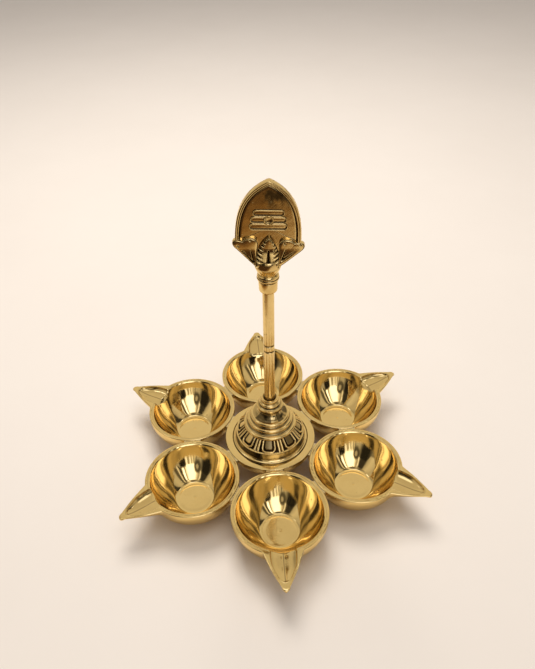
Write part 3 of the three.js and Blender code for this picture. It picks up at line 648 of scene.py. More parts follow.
def makeBoss():
    (r1, h1), (r2, h2), (r3, h3) = boss["rings"]
    size = boss["ringSize"]
    discTop = boss["discHeight"] + boss["discThickness"] / 2
    discLow = boss["discHeight"] - boss["discThickness"] / 2
    wallFoot = boss["shoulder"] + boss["skirtStep"]
    # The foot is painted dark: painted shade in the cup's seat and under the thin lip, and painted dark reflection up
    # the wall
    foot = [(boss["foot"], -boss["seat"], 0.6), (boss["foot"], -0.1, 0.8), (boss["foot"] - 0.08, 0.0, 0)]
    for step in range(1, 11):
        t = step / 10 * pi / 2
        rise = boss["skirtHeight"] * (1 - cos(t))
        foot.append((mix(boss["foot"] - 0.08, wallFoot, sin(t)), rise, 0.5 * (step / 10) ** 4))
    foot += rounded([
        (wallFoot, boss["skirtHeight"] + 0.2, 0, 0.5),
        (mix(wallFoot, boss["shoulder"], 0.8), boss["shoulderHeight"] - 0.9, 0, 0.35),
        (boss["shoulder"] + 0.05, boss["shoulderHeight"] - 0.35, 0, 0.7),
        (boss["shoulder"] + 0.2, boss["shoulderHeight"] - 0.22, 0.08),
        (boss["shoulder"] + 0.2, boss["shoulderHeight"] - 0.02, 0.08),
        (boss["shoulder"], boss["shoulderHeight"]),
    ])
    low = Vector((boss["shoulder"], boss["shoulderHeight"]))
    high = Vector((r1 - size, h1 - size))
    band = []
    for step in range(1, boss["bandSteps"]):
        spot = low.lerp(high, step / boss["bandSteps"])
        band.append((spot.x, spot.y, 0))
    steps = halfRound(r1, h1, size) + [(r2 - 0.2, h1 + size, 0.8)] + halfRound(r2, h2, size)
    steps += [(r3 - 0.2, h2 + size, 0.8)] + halfRound(r3, h3, size)
    # The neck up to the disc is painted darker, as a dark reflection
    neck = []
    for step in range(1, 13):
        t = step / 12 * pi / 2
        neck.append((mix(r3 - size, boss["waist"], sin(t)), mix(h3 + size, boss["waistHeight"], 1 - cos(t)), 0.35))
    top = rounded([
        (boss["waist"], boss["waistHeight"], 0, 0.35),
        (boss["waist"] + 0.15, discLow - 1.2, 0.5, 0.3),
        (boss["disc"], discLow, 0.25),
        (boss["disc"], discTop, 0.25),
        (boss["bead"] - boss["beadSize"], discTop, 0, 1),
    ])
    top += [(boss["bead"] - boss["beadSize"], boss["beadHeight"] - boss["beadSize"], 1)]
    top += halfRound(boss["bead"], boss["beadHeight"], boss["beadSize"])[1:]
    socketLow = boss["beadHeight"] + boss["beadSize"]
    # The socket's mouth round the rod is painted dark, as shade in the gap
    top += rounded([
        (boss["socket"] - boss["socketEdge"], socketLow + boss["socketEdge"], 0, 0.7),
        (boss["socket"], boss["height"] - 3 * boss["socketEdge"], 0.3),
        (boss["socket"] - boss["socketEdge"], boss["height"], 0.25),
        (boss["hole"] + boss["mouthWidth"], boss["height"], 0.15),
        (boss["hole"] + boss["mouthWidth"], boss["height"] - boss["mouthDepth"], 0.15, 0.6),
        (boss["hole"], boss["height"] - boss["mouthDepth"], 0, 1),
    ])
    wall = boss["wall"]
    inside = [
        (boss["hole"], boss["stemSeat"]),
        (boss["tenonHole"], boss["stemSeat"]),
        (boss["tenonHole"], boss["stemSeat"] - wall),
        (boss["waist"] - wall, boss["waistHeight"]),
        (boss["waist"] - wall, h3),
        (r3 - size - wall, h3 - wall),
        (r1 - size - wall, h1 - wall),
        (boss["shoulder"] - wall, boss["shoulderHeight"] - wall),
        (boss["foot"] - wall, -boss["seat"]),
    ]
    bm = spun(foot + band + steps + neck + top + inside, boss["around"], closed=True)
    ring = bm.verts.layers.float["ring"]
    patina = bm.verts.layers.float["patina"]
    length = (high - low).length
    normal = Vector(((high - low).y, -(high - low).x)).normalized()
    neckFirst = len(foot) + len(band) + len(steps)
    wallPoints = range(boss["filletPoints"], len(foot) - boss["lipPoints"])
    bandPoints = range(len(foot), len(foot) + len(band))
    neckPoints = range(neckFirst, neckFirst + len(neck))
    for vert in bm.verts:
        point = round(vert[ring])
        turn = atan2(vert.co.y, vert.co.x)
        # The low wall and the neck take painted dark reflections in clouds
        if point in wallPoints:
            vert[patina] = max(vert[patina], paintedWallReflection(turn, vert.co.z))
        elif point in neckPoints:
            vert[patina] = max(vert[patina], boss["paintedNeckReflection"] * paintedWallReflection(turn + 2, 5.0))
        elif point in bandPoints:
            along = (point - len(foot) + 1) / boss["bandSteps"] * length
            radius = hypot(vert.co.x, vert.co.y)
            height, dark = panelRelief(turn, along, length, radius)
            push = (height - boss["zeroHeight"]) * boss["relief"]
            push *= smooth(along, 0, 0.5) * (1 - smooth(along, length - 0.5, length))
            radius += normal.x * push
            vert.co = (radius * cos(turn), radius * sin(turn), vert.co.z + normal.y * push)
            vert[patina] = dark
    addPiece(bm, "panelled_boss", lift() @ Matrix.Rotation(radians(boss["turn"]), 4, "Z"), castBrass, "lamp", "boss")


makeBoss()
print("boss made")


# Stem
stem = {
    "radius": 2.75, "tenon": 1.95, "seat": 26.8, "jointHeight": 62.7, "ringHeight": 3.4, "gap": 0.3, "groove": 0.35,
    "top": 111.3, "studBore": 1.67, "studGrip": 8.0, "studEnd": 0.6, "tenonLow": -18.4, "around": 72,
}


def makeStem():
    radius, groove, bore = stem["radius"], stem["groove"], stem["studBore"]
    low = stem["jointHeight"]
    ringLow = low + stem["gap"]
    ringTop = ringLow + stem["ringHeight"]
    upper = ringTop + stem["gap"]
    boreDepth = stem["studGrip"] + stem["studEnd"]
    lowerRod = rounded([
        (0, stem["tenonLow"]), (stem["tenon"], stem["tenonLow"], 0.3), (stem["tenon"], stem["seat"], 0.1),
        (radius, stem["seat"], 0.2), (radius, low - groove, 0.15), (radius - groove, low, 0, 1), (bore, low, 0, 1),
        (bore, low - boreDepth), (0, low - boreDepth),
    ])
    collar = rounded([
        (bore, ringLow, 0, 1), (radius - groove, ringLow, 0, 1), (radius, ringLow + groove, 0.2),
        (radius, ringTop - groove, 0.2), (radius - groove, ringTop, 0, 1), (bore, ringTop, 0, 1),
    ])
    upperRod = rounded([
        (0, upper + boreDepth), (bore, upper + boreDepth), (bore, upper, 0, 1), (radius - groove, upper, 0, 1),
        (radius, upper + groove, 0.2), (radius, stem["top"], 0.3), (0, stem["top"]),
    ])
    around = stem["around"]
    addPiece(spun(lowerRod, around), "polished_rod", lift(), rodBrass, "lamp", "lower_stem")
    addPiece(spun(collar, around, closed=True), "thread_collar", lift(), rodBrass, "ring", "joint_ring")
    addPiece(spun(upperRod, around), "dull_rod", lift(), rodBrass, "handle", "upper_stem")


makeStem()
print("stem made")


# Ferrule
ferrule = {"radius": 4.45, "lowRadius": 4.25, "low": 99.3, "height": 5.6, "hole": 2.87, "around": 72}


def makeFerrule():
    low, hole = ferrule["low"], ferrule["hole"]
    top = low + ferrule["height"]
    profile = rounded([
        (hole, low, 0.1, 1), (ferrule["lowRadius"], low, 0.7), (ferrule["radius"], top, 0.3), (hole, top, 0.1, 1),
        (hole, low + 0.01),
    ])
    addPiece(spun(profile, ferrule["around"], closed=True), "plain_sleeve", lift(), castBrass, "handle", "ferrule")


makeFerrule()
print("ferrule made")


# Finial
finial = {
    "turn": -4.9, "low": 105.2, "bead": 5.15, "beadHeight": 3.4, "beadFlat": 0.8, "beadEdge": 0.7,
    "neck": 4.48, "neckHeight": 0.5, "calyx": 6.06, "calyxFlare": 3.9, "calyxHeight": 7.8, "calyxTop": 5.2,
    "hole": 2.87, "stemTop": 111.42, "around": 96, "grooveWave": 0.16,
}
leaf = {
    "width": 28.7, "bulge": 126.0, "sideRise": 13.7, "shoulderHalf": 11.0, "shoulder": 148.5, "tipHalf": 0.9,
    "tipRound": 0.3, "tip": 154.05, "thickness": 3.6, "root": 115.1, "rootHalf": 3.6, "bend": 0.9, "bendRise": 4.4,
    "recess": 1.0, "around": 240, "middle": 132.0, "lean": 1.5, "leanFrom": 116.9,
    # The back and the edge: how far in from the outline, and a depth behind the middle
    "backInset": 1.2, "backShares": (0.03, 0.3, 0.6, 0.85),
    "edge": ((1.2, 1.8), (0.5, 1.8), (0.22, 1.72), (0.06, 1.55), (0, 1.3), (0, 0), (0, -1.3), (0.06, -1.55),
             (0.2, -1.72), (0.45, -1.8)),
    # The two border lines and the step down to the field: an inset, a depth behind the front, and the tarnish
    "border": ((0.72, 0.03, 0.05), (0.9, 0.16, 0.5), (1.08, 0.04, 0.1), (1.25, -0.04, 0), (1.42, -0.04, 0),
               (1.55, 0.06, 0.3), (1.66, 0.5, 0.9), (1.78, 1.2, 1.0), (2.05, 1.2, 1.0), (2.25, 1.06, 0.5),
               (2.5, 1.0, 0)),
    "fieldInset": 2.5, "fieldFall": 0.25,
    "fieldShares": (0.96, 0.9, 0.82, 0.74, 0.65, 0.56, 0.46, 0.36, 0.26, 0.16, 0.03),
}
bars = {
    "lengths": (16.8, 15.9, 13.8), "width": 3.3, "pitch": 3.25, "middle": 135.95, "dot": 2.2, "sunk": 0.4, "lift": 0.2,
    # The raised outline of a bar: an inset, a rise and the tarnish
    "ridge": ((0.0, 0.3, 1), (0.08, 0.62, 0.2), (0.22, 0.85, 0), (0.38, 0.82, 0), (0.52, 0.5, 0.6), (0.62, 0.16, 1),
              (0.8, 0.12, 0.3), (1.3, 0.16, 0)),
    # The dot: a rise, a share of its radius and the tarnish
    "dotRings": ((0.4, 1, 0.9), (0.75, 0.96, 0), (0.9, 0.89, 0), (0.86, 0.8, 0), (0.5, 0.72, 0.7), (0.3, 0.62, 0.5),
                 (0.3, 0.05, 0)),
}
petal = {
    "reach": 16.1, "root": 114.0, "top": 127.4, "front": 2.35, "edge": 2.0, "back": 1.0, "lean": 4.0, "midWidth": 10.6,
    "midTop": 128.1, "midFront": 2.7, "midEdge": 2.2, "markDrop": 1.2, "markDepth": 0.7, "midMarkDepth": 0.9,
    "rootForward": 1.0, "midRootForward": 2.2, "rootFade": 9,
}


def alongCurve(points, t):
    # The point and the direction at t on a curve with these control points
    points = [Vector(point) for point in points]
    while len(points) > 2:
        points = [a.lerp(b, t) for a, b in zip(points, points[1:])]
    return points[0].lerp(points[1], t), (points[1] - points[0]).normalized()


def leafSide(inset, count):
    # The leaf's right side from its root up to its blunt tip, drawn in by an inset
    half = leaf["width"] / 2
    belly = (half, leaf["bulge"])
    lower = ((leaf["rootHalf"], leaf["root"]), (half - leaf["bend"], leaf["root"] + leaf["bendRise"]), belly)
    upper = (belly, (half, leaf["bulge"] + leaf["sideRise"]), (leaf["shoulderHalf"], leaf["shoulder"]),
             (leaf["tipHalf"], leaf["tip"] - leaf["tipRound"]))

    def drawnIn(curve, t):
        spot, way = alongCurve(curve, t)
        return spot + inset * Vector((-way.y, way.x))
    # The drawn-in side stops where it meets the other one
    low, last = 0.0, 1.0
    if drawnIn(upper, 1).x < 0:
        for _ in range(20):
            middle = (low + last) / 2
            if drawnIn(upper, middle).x > 0:
                low = middle
            else:
                last = middle
    lowerCount = count // 4
    points = [drawnIn(lower, i / lowerCount) for i in range(lowerCount)]
    points += [drawnIn(upper, last * i / (count - lowerCount - 1)) for i in range(count - lowerCount)]
    end = points[-1].y
    points.append(Vector((0, max(end + 0.01, leaf["tip"] - inset) if last == 1 else end)))
    return points


def leafOutline(inset, count):
    # Closed: up the right side to the tip and down the left side
    points = leafSide(inset, count // 2)
    points += [Vector((-p.x, p.y)) for p in points[-2::-1]]
    return points


def loftLoops(loops):
    # Loops of equal length joined ring to ring by extruding the last one's edges; the ends are closed by a face
    bm = bmesh.new()
    patina = bm.verts.layers.float.new("patina")
    first = [bm.verts.new(point) for point in loops[0][0]]
    for vert in first:
        vert[patina] = loops[0][1]
    edges = [bm.edges.new((first[i], first[(i + 1) % len(first)])) for i in range(len(first))]
    bm.faces.new(first)
    ring = first
    for points, dark in loops[1:]:
        made = bmesh.ops.extrude_edge_only(bm, edges=edges)["geom"]
        newEdges = [e for e in made if isinstance(e, bmesh.types.BMEdge)]
        fresh = {v for v in made if isinstance(v, bmesh.types.BMVert)}
        ring = [next(e.other_vert(vert) for e in vert.link_edges if e.other_vert(vert) in fresh) for vert in ring]
        for vert, point in zip(ring, points):
            vert.co = point
            vert[patina] = dark
        rim = set(ring)
        edges = [e for e in newEdges if e.verts[0] in rim and e.verts[1] in rim]
    bm.faces.new(ring)
    return bm


def makeLeafPlate():
    front = -leaf["thickness"] / 2
    field = front + leaf["recess"]
    middle = Vector((0, leaf["middle"]))
    loops = []

    def ring(inset, y, dark=0.0, share=1.0):
        points = [middle + (p - middle) * share for p in leafOutline(inset, leaf["around"])]
        loops.append(([(p.x, y, p.y) for p in points], dark))

    for share in leaf["backShares"]:
        ring(leaf["backInset"], -front, 0.0, share)
    for inset, y in leaf["edge"]:
        ring(inset, y)
    for inset, depth, dark in leaf["border"]:
        ring(inset, front + depth, dark)
    for share in leaf["fieldShares"]:
        ring(leaf["fieldInset"], field + leaf["fieldFall"] * (1 - share), 0.0, share)
    bm = loftLoops(loops)
    paintFieldTopReflection(bm, field - 0.02)
    return bm


def paintFieldTopReflection(bm, field):
    # Painted dark reflection in clouds over the top of the field, where the field mirrors the dark far floor
    patina = bm.verts.layers.float["patina"]
    for vert in bm.verts:
        if not field < vert.co.y < 0:
            continue
        cloud = noise.noise(Vector((vert.co.x * 0.22 + 3.1, 0, vert.co.z * 0.2)))
        cloud += 0.5 * noise.noise(Vector((vert.co.x * 0.6, 2, vert.co.z * 0.6)))
        here = smooth(vert.co.z, 139.5, 146) * smooth(vert.co.x, -5.5, -1.5)
        vert[patina] = max(vert[patina], here * smooth(cloud, -0.35, 0.25) * 0.85)


def pillowLoops(outline, layers):
    middle = sum(outline, Vector((0, 0))) / len(outline)
    loops = []
    for depth, share, dark in layers:
        points = [middle + (p - middle) * share for p in outline]
        loops.append(([(p.x, depth, p.y) for p in points], dark))
    return loops


def curveTo(points, steps):
    # Points on a curve with three or four control points, without its last one
    points = [Vector(point) for point in points]
    weights = (1, 2, 1) if len(points) == 3 else (1, 3, 3, 1)
    top = len(points) - 1
    out = []
    for t in (step / steps for step in range(steps)):
        parts = [p * w * t ** i * (1 - t) ** (top - i) for i, (p, w) in enumerate(zip(points, weights))]
        out.append(sum(parts, Vector((0, 0))))
    return out


def sidePetalOutline(side):
    def at(across, up):
        return Vector((side * across * petal["reach"], petal["root"] + up * (petal["top"] - petal["root"])))
    # Each stretch gives its steps, its control point and its end, and starts where the last one ended
    spot = at(0.34, 0)
    points = []
    for steps, control, end in ((30, (0.62, 0.30), (0.92, 0.63)), (16, (1.03, 0.80), (0.93, 0.89)),
                                (10, (0.82, 0.93), (0.71, 0.89)), (16, (0.62, 1), (0.48, 1)),
                                (18, (0.27, 0.99), (0.28, 0.72)), (20, (0.32, 0.36), (0.27, 0)),
                                (4, (0.30, 0), (0.34, 0))):
        points += curveTo((spot, at(*control), at(*end)), steps)
        spot = at(*end)
    return points


def midPetalOutline():
    half = petal["midWidth"] / 2

    def at(across, up):
        return Vector((across * half, petal["root"] + up * (petal["midTop"] - petal["root"])))
    points = curveTo((at(1, 0), at(1, 0.6), at(0.55, 0.82), at(0, 1)), 80)
    points += curveTo((at(0, 1), at(-0.55, 0.82), at(-1, 0.6), at(-1, 0)), 80)
    points += curveTo((at(-1, 0), at(0, 0), at(1, 0)), 16)
    return points


def petalLayers(edge, front, steps=30):
    # From the back, round the thin edge and over a groove inside it, to a nearly flat front
    layers = [(petal["back"], 0.04, 0), (petal["back"], 0.88, 0), (0.4, 0.97, 0), (0, 1, 0), (-0.8 * edge, 1, 0),
              (-0.95 * edge, 0.998, 0), (-edge, 0.985, 0), (-edge, 0.97, 0), (-edge + 0.3, 0.958, 1),
              (-edge + 0.3, 0.935, 1)]
    for step in range(1, steps + 1):
        share = 0.93 - (step - 1) / (steps - 1) * 0.91
        crown = 0.8 * (1 - (share / 0.94) ** 16) ** 0.5 + 0.2 * (1 - (share / 0.94) ** 2)
        layers.append((mix(-edge + 0.2, -front, crown), share, 0.9 * smooth(share, 0.9, 0.93)))
    return layers


def slit(x, z, a, b, width):
    # How deep a tapering slit from a to b is at a point: 0 outside, 1 in its middle
    start, end = Vector(a), Vector(b)
    line = end - start
    t = clamp((Vector((x, z)) - start).dot(line) / line.length_squared)
    distance = (Vector((x, z)) - start - line * t).length
    reach = width * mix(1, 0.35, t)
    return 1 - smooth(distance, reach * 0.35, reach)


# Chiselled marks: a slit runs from its wide end to its narrow one, a dot has a place, a nick a height and a reach
petalMarks = {
    "leftSlits": (((-6.2, 117.2), (-11.1, 123.1), 0.62), ((-6.0, 117.4), (-7.4, 123.4), 0.5),
                  ((-12.6, 128.2), (-10.7, 127.5), 0.4)),
    "leftDots": ((-12.9, 125.4), (-7.5, 128.0)),
    "rightSlits": (((6.3, 118.2), (11.6, 122.3), 0.62), ((6.2, 118.4), (7.8, 123.3), 0.5)),
    "rightDots": ((7.4, 126.1), (14.0, 125.5)),
    "midSlit": ((0.2, 115.8), (0.27, 122.9), 1.1),
    "nicks": ((118.8, 4.6), (120.6, 4.5), (122.4, 4.3), (124.1, 4.0), (125.8, 3.4), (127.3, 2.5)),
    "nickMiddle": 119.3, "nickLean": 0.07, "nickInner": 0.58, "nickWidth": 0.72,
}


def sidePetalMarks(x, z, side):
    name = "left" if side < 0 else "right"
    marks = max(slit(x, z, *mark) for mark in petalMarks[name + "Slits"])
    for spot in petalMarks[name + "Dots"]:
        distance = (Vector((x, z)) - Vector(spot)).length
        marks = max(marks, 1 - smooth(distance, 0.25, 0.55))
    return marks


def midPetalMarks(x, z):
    marks = slit(x, z, *petalMarks["midSlit"])
    for height, reach in petalMarks["nicks"]:
        centre = (height - petalMarks["nickMiddle"]) * petalMarks["nickLean"]
        for side in (-1, 1):
            outer = (centre + side * reach, height + 0.3)
            inner = (centre + side * (reach * petalMarks["nickInner"]), height - 0.9)
            marks = max(marks, slit(x, z, outer, inner, petalMarks["nickWidth"]))
    return marks


def carve(bm, marks, depth, frontLimit):
    patina = bm.verts.layers.float["patina"]
    for vert in bm.verts:
        if vert.co.y > frontLimit:
            continue
        mark = marks(vert.co.x, vert.co.z)
        vert.co.y += mark * depth
        vert[patina] = max(vert[patina], mark)


def bringForward(bm, distance):
    # The petals spring from the front of the calyx and lie back on the leaf higher up
    for vert in bm.verts:
        if vert.co.y < -1:
            vert.co.y -= distance * (1 - smooth(vert.co.z, petal["root"], petal["root"] + petal["rootFade"]))


def leaned(angle, pivot):
    there, back = Matrix.Translation((0, 0, pivot)), Matrix.Translation((0, 0, -pivot))
    return there @ Matrix.Rotation(radians(angle), 4, "Y") @ back


def addFinialPart(bm, name, lean=None):
    bmesh.ops.remove_doubles(bm, verts=bm.verts[:], dist=1e-4)
    if lean is not None:
        bmesh.ops.transform(bm, matrix=lean, verts=bm.verts[:])
    place = lift() @ Matrix.Rotation(radians(finial["turn"]), 4, "Z")
    addPiece(bm, name, place, castBrass, "handle", "finial")


def makeFinialFoot():
    # Bead, groove, neck and the calyx bulge
    bead, neck = finial["bead"], finial["neck"]
    beadLow = finial["low"] + finial["beadEdge"]
    beadHigh = beadLow + finial["beadFlat"]
    neckLow = finial["low"] + finial["beadHeight"]
    calyxLow = neckLow + finial["neckHeight"]
    widest = calyxLow + finial["calyxFlare"]
    calyxTop = calyxLow + finial["calyxHeight"]
    foot = rounded([
        (0, finial["stemTop"]), (finial["hole"], finial["stemTop"]), (finial["hole"], finial["low"], 0, 1),
        (bead - finial["beadEdge"], finial["low"], 0.3, 0.8), (bead, beadLow, 0.4, 0.1), (bead, beadHigh, 0.1),
    ])
    groove = ((0.04, 0.1, 0.4), (0.28, 0.25, 1), (0.28, 0.42, 1), (0.12, 0.55, 0.2))
    foot += [(bead - inset, beadHigh + rise, dark) for inset, rise, dark in groove]
    for step in range(2, 13):
        t = step / 12 * pi / 2
        foot.append((mix(neck, bead - 0.08, cos(t)), mix(beadHigh + 0.42, neckLow, sin(t)), 0))
    foot.append((neck - 0.12, neckLow + 0.12, 0.8))
    for step in range(17):
        t = step / 16
        foot.append((mix(neck, finial["calyx"], t) + 0.12 * sin(pi * t), mix(calyxLow, widest, t),
                     0.5 * smooth(t, 0.93, 1)))
    for step in range(1, 13):
        t = step / 12 * pi / 2
        foot.append((mix(finial["calyxTop"], finial["calyx"], cos(t)), mix(widest, calyxTop, sin(t)),
                     0.9 * smooth(step, 10, 12)))
    foot.append((0, calyxTop, 1))
    bm = spun(foot, finial["around"])
    # The groove was cut by hand, so it wanders
    wandering = {round(beadHigh + rise, 3) for _, rise, _ in groove}
    for vert in bm.verts:
        if round(vert.co.z, 3) in wandering and hypot(vert.co.x, vert.co.y) > neck:
            vert.co.z += finial["grooveWave"] * noise.noise(Vector((vert.co.x * 0.5, vert.co.y * 0.5, 7)))
    addFinialPart(bm, "finial_foot")


def makeBars(lean):
    # Three bars and the dot in the middle of the field
    floor = -leaf["thickness"] / 2 + leaf["recess"] + bars["lift"]
    sunk = floor + bars["sunk"]
    end = bars["width"] / 2
    for index, length in enumerate(bars["lengths"]):
        height = bars["middle"] + (index - 1) * bars["pitch"]
        reach = length / 2 - end
        outline = []
        for side in (1, -1):
            for step in range(17):
                angle = (step / 16 - 0.5) * pi
                outline.append(Vector((side * (cos(angle) * end + reach), height + side * sin(angle) * end)))
            outline += [Vector((side * reach * mix(1, -1, step / 40), height + side * end)) for step in range(1, 40)]
        loops = pillowLoops(outline, [(sunk, 0.3, 1), (sunk, 1, 1), (floor - 0.1, 1, 1)])
        for inset, rise, dark in bars["ridge"]:
            points = []
            for p in outline:
                centre = Vector((clamp(p.x, -reach, reach), height))
                points.append(centre + (p - centre) * (1 - inset / end))
            loops.append(([(p.x, floor - rise, p.y) for p in points], dark))
        bm = loftLoops(loops)
        for vert in bm.verts:
            if hypot(vert.co.x, vert.co.z - bars["middle"]) < bars["dot"]:
                vert.co.y = max(vert.co.y, floor - bars["lift"])
        addFinialPart(bm, "raised_bar_%d" % (index + 1), lean)
    outline = []
    for step in range(48):
        angle = 2 * pi * step / 48
        outline.append(Vector((cos(angle) * bars["dot"], bars["middle"] + sin(angle) * bars["dot"])))
    layers = [(sunk, 0.3, 1), (sunk, 1, 1)] + [(floor - rise, share, dark) for rise, share, dark in bars["dotRings"]]
    addFinialPart(loftLoops(pillowLoops(outline, layers)), "raised_dot", lean)


def makePetal(name, outline, layers, lean, marks, depth, edge, forward):
    bm = loftLoops(pillowLoops(outline, layers))
    bmesh.ops.transform(bm, matrix=lean, verts=bm.verts[:])
    carve(bm, lambda x, z: marks(x, z + petal["markDrop"]), depth, -edge + 0.05)
    bringForward(bm, forward)
    addFinialPart(bm, name)


def makeFinial():
    leafLean = leaned(leaf["lean"], leaf["leanFrom"])
    petalLean = leaned(petal["lean"], petal["root"] + (petal["top"] - petal["root"]) / 3)
    makeFinialFoot()
    addFinialPart(makeLeafPlate(), "leaf_plate", leafLean)
    makeBars(leafLean)
    for side, name in ((-1, "left_petal"), (1, "right_petal")):
        makePetal(name, sidePetalOutline(side), petalLayers(petal["edge"], petal["front"]), petalLean,
                  lambda x, z: sidePetalMarks(x, z, side), petal["markDepth"], petal["edge"], petal["rootForward"])
    makePetal("middle_petal", midPetalOutline(), petalLayers(petal["midEdge"], petal["midFront"]), petalLean,
              midPetalMarks, petal["midMarkDepth"], petal["midEdge"], petal["midRootForward"])


makeFinial()
print("finial made")


# Braze, stud, washer and nut keep their solids
for name, piece in frame["nodes"].items():
    steel = name in ("joint_stud", "base_washer", "base_nut")
    if steel or "braze" in name:
        piece.data.materials.clear()
        piece.data.materials.append(plainSteel if steel else brazeMetal)


# Floor
ground = {
    "half": 3, "roughness": 0.9, "specular": 0.1, "shades": ((0.3, (0.86, 0.78, 0.70)), (0.7, (0.88, 0.80, 0.72))),
    # What the brass mirrors is a painted pool of lamp light, warm near the lamp and then painted dark not far in front
    # of it, along a slanted wavy line
    "slant": 1.3, "wave": 0.06, "dark": -0.37, "lit": -0.17,
    "seen": ((0.0, (0.07, 0.035, 0.012)), (0.35, (0.09, 0.045, 0.015)), (0.52, (0.30, 0.15, 0.04)),
             (0.7, (0.42, 0.26, 0.09)), (0.86, (0.76, 0.62, 0.38)), (1.0, (0.84, 0.70, 0.46))),
}


def makeFloor():
    bm = bmesh.new()
    bmesh.ops.create_grid(bm, x_segments=2, y_segments=2, size=ground["half"])
    mesh = bpy.data.meshes.new("floor")
    bm.to_mesh(mesh)
    bm.free()
    floor = bpy.data.objects.new("floor", mesh)
    bpy.context.scene.collection.objects.link(floor)
    material = bpy.data.materials.new("pale floor")
    material.use_nodes = True
    tree = material.node_tree
    shader = tree.nodes["Principled BSDF"]
    shader.inputs["Roughness"].default_value = ground["roughness"]
    shader.inputs["Specular IOR Level"].default_value = ground["specular"]
    place = addNode(tree, "ShaderNodeTexCoord").outputs["Object"]
    shade = addRamp(tree, addNoise(tree, place, 9.0, 5.0, 0.6), ground["shades"])
    parts = addNode(tree, "ShaderNodeSeparateXYZ", Vector=place).outputs
    slant = addMath(tree, "MULTIPLY_ADD", parts[0], ground["slant"], parts[1])
    bent = addMath(tree, "MULTIPLY_ADD", addNoise(tree, place, 14.0, 2.0), ground["wave"], slant)
    # For glossy rays the floor's colour is the painted pool of lamp light, and painted dark farther off
    seen = addRamp(tree, addRange(tree, bent, ground["dark"], ground["lit"]), ground["seen"])
    path = tree.nodes.new("ShaderNodeLightPath")
    tree.links.new(addMix(tree, path.outputs["Is Glossy Ray"], shade, seen), shader.inputs["Base Color"])
    mesh.materials.append(material)


makeFloor()


# Lights
lamps = (
    {"name": "key_softbox", "place": (-0.05, 0.42, 0.84), "size": 0.46, "power": 5.5},
    {"name": "fill_softbox", "place": (0.1, -0.1, 0.9), "size": 0.5, "power": 1.7},
)
lampColour = (1, 0.97, 0.93)
lampTarget = (0, 0, 0.03)


def makeLamps():
    # They don't show in the brass, because what it mirrors is in the world
    for lamp in lamps:
        data = bpy.data.lights.new(lamp["name"], "AREA")
        data.size = lamp["size"]
        data.energy = lamp["power"]
        data.color = lampColour
        body = bpy.data.objects.new(lamp["name"], data)
        aim = Vector(lampTarget) - Vector(lamp["place"])
        body.matrix_world = Matrix.Translation(lamp["place"]) @ aim.to_track_quat("-Z", "Y").to_matrix().to_4x4()
        body.visible_glossy = False
        bpy.context.scene.collection.objects.link(body)


makeLamps()


# World
world = {
    "horizon": (0.06, 0.055, 0.05), "zenith": (0.5, 0.48, 0.465), "backdrop": (0.78, 0.71, 0.64),
    # The room that the brass mirrors. A bearing is 0 or 1 towards -X, 0.25 towards -Y (behind the camera), 0.5
    # towards +X and 0.75 towards +Y. The low, middle and high zones give a level of grey at each bearing, and
    # lowTop gives the height, as the sine of an elevation, where the low zone ends.
    "low": ((0.0, 0.5), (0.05, 0.35), (0.09, 0.1), (0.105, 0.02), (0.165, 0.02), (0.175, 0.25), (0.185, 0.5),
            (0.215, 0.55), (0.222, 0.12), (0.232, 0.9), (0.238, 0.25), (0.247, 1.3), (0.253, 1.1), (0.258, 0.3),
            (0.27, 1.7), (0.278, 0.4), (0.288, 0.45), (0.293, 1.6), (0.302, 1.2), (0.308, 0.02), (0.35, 0.015),
            (0.362, 0.5), (0.4, 0.3), (0.44, 0.75), (0.5, 0.55), (0.56, 0.75)),
    "lowTop": ((0.0, 0.22), (0.08, 0.3), (0.10, 0.5), (0.17, 0.5), (0.18, 0.46), (0.225, 0.4), (0.235, 0.33),
               (0.3, 0.33), (0.31, 0.36), (0.355, 0.36), (0.37, 0.25), (0.5, 0.2)),
    "middle": ((0.0, 0.6), (0.05, 0.75), (0.085, 0.5), (0.10, 0.05), (0.155, 0.04), (0.168, 0.2), (0.178, 1.5),
               (0.188, 0.3), (0.205, 0.8), (0.235, 2.0), (0.3, 2.0), (0.318, 1.2), (0.328, 0.12), (0.338, 2.4),
               (0.346, 2.4), (0.354, 0.08), (0.372, 0.1), (0.38, 1.4), (0.388, 0.15), (0.405, 0.1), (0.418, 0.6),
               (0.45, 0.65), (0.48, 0.5), (0.497, 0.06), (0.55, 0.05), (0.57, 0.6), (0.62, 0.7), (0.8, 0.74),
               (0.86, 0.6), (0.9, 0.35), (0.95, 0.55)),
    "high": ((0.0, 0.55), (0.08, 0.3), (0.12, 0.1), (0.18, 0.5), (0.22, 0.2), (0.29, 0.18), (0.33, 1.1), (0.37, 0.3),
             (0.42, 0.08), (0.48, 0.5), (0.55, 0.62), (0.95, 0.66)),
    "overhead": 1.5, "lowEdge": (-0.02, 0.03), "highEdge": (0.79, 0.85), "overheadEdge": (0.965, 0.985),
    # Round patches: a direction, how wide they are in degrees and a level
    "spots": (((-0.238, -0.882, 0.407), 10, 0.1), ((-0.22, -0.885, 0.41), 4, 0.5), ((-0.42, 0.25, 0.87), 4, 2.6),
              ((0.45, 0.2, 0.87), 3, 2.6)),
    # Lamps are white, and everything dimmer is warm
    "warm": (1.0, 0.85, 0.56), "white": (1.0, 0.97, 0.92), "tintEdge": (0.25, 0.6),
    # A colour ramp can't go above 1, so the levels are divided by this and the background multiplies them again
    "top": 3.0,
}


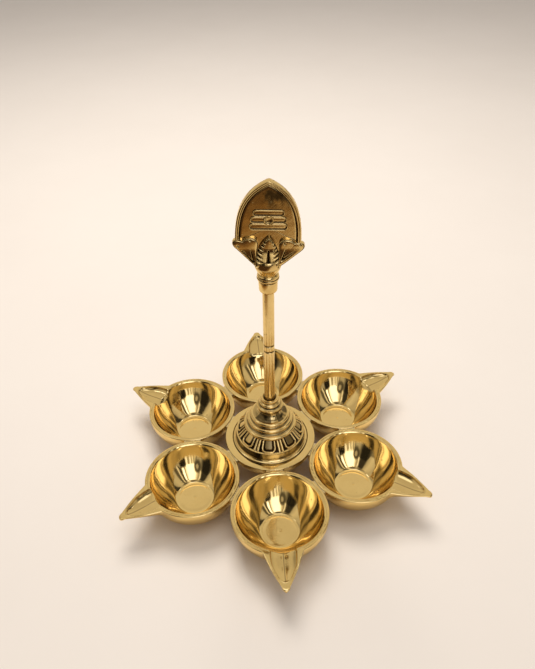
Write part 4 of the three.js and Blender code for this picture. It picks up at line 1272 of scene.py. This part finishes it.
def makeWorld():
    studio = bpy.data.worlds.new("studio")
    studio.use_nodes = True
    bpy.context.scene.world = studio
    tree = studio.node_tree
    tree.nodes.clear()
    out = tree.nodes.new("ShaderNodeOutputWorld")
    direction = addNode(tree, "ShaderNodeTexCoord").outputs["Generated"]
    parts = addNode(tree, "ShaderNodeSeparateXYZ", Vector=direction).outputs
    height = parts[2]
    bearing = addRange(tree, addMath(tree, "ARCTAN2", parts[1], parts[0]), -pi, pi)
    shifted = addMath(tree, "MULTIPLY_ADD", addNoise(tree, direction, 4.0, 2.0), 0.02, bearing)
    centred = addMath(tree, "SUBTRACT", shifted, 0.01)

    def grey(level):
        return (level / world["top"],) * 3 + (1,)

    def greys(name):
        return addRamp(tree, centred, [(place, grey(level)) for place, level in world[name]])

    def above(source, edge, under, over):
        return addMix(tree, addRange(tree, source, *edge, shape="SMOOTHSTEP"), under, over)

    def background(colour, strength=1.0):
        return addNode(tree, "ShaderNodeBackground", Color=colour, Strength=strength).outputs[0]

    def choose(ray, otherwise, chosen):
        return addNode(tree, "ShaderNodeMixShader", i0=path.outputs[ray], i1=otherwise, i2=chosen).outputs[0]

    overLow = addMath(tree, "MULTIPLY_ADD", greys("lowTop"), -world["top"], height)
    room = above(overLow, world["lowEdge"], greys("low"), greys("middle"))
    room = above(height, world["highEdge"], room, greys("high"))
    room = above(height, world["overheadEdge"], room, grey(world["overhead"]))
    for towards, width, level in world["spots"]:
        nearness = addNode(tree, "ShaderNodeVectorMath", {"operation": "DOT_PRODUCT"}, i0=direction,
                           i1=Vector(towards).normalized())
        edge = cos(radians(width * 1.25)), cos(radians(width * 0.75))
        room = above(nearness.outputs["Value"], edge, room, grey(level))
    tint = above(room, world["tintEdge"], (*world["warm"], 1), (*world["white"], 1))
    sky = addMix(tree, addRange(tree, height, -0.1, 0.9), (*world["horizon"], 1), (*world["zenith"], 1))
    path = tree.nodes.new("ShaderNodeLightPath")
    seen = choose("Is Glossy Ray", background(sky), background(addMix(tree, 1.0, room, tint, "MULTIPLY"), world["top"]))
    seen = choose("Is Camera Ray", seen, background((*world["backdrop"], 1)))
    tree.links.new(seen, out.inputs["Surface"])


makeWorld()
bpy.context.scene.view_settings.view_transform = "Standard"
print("stage set")
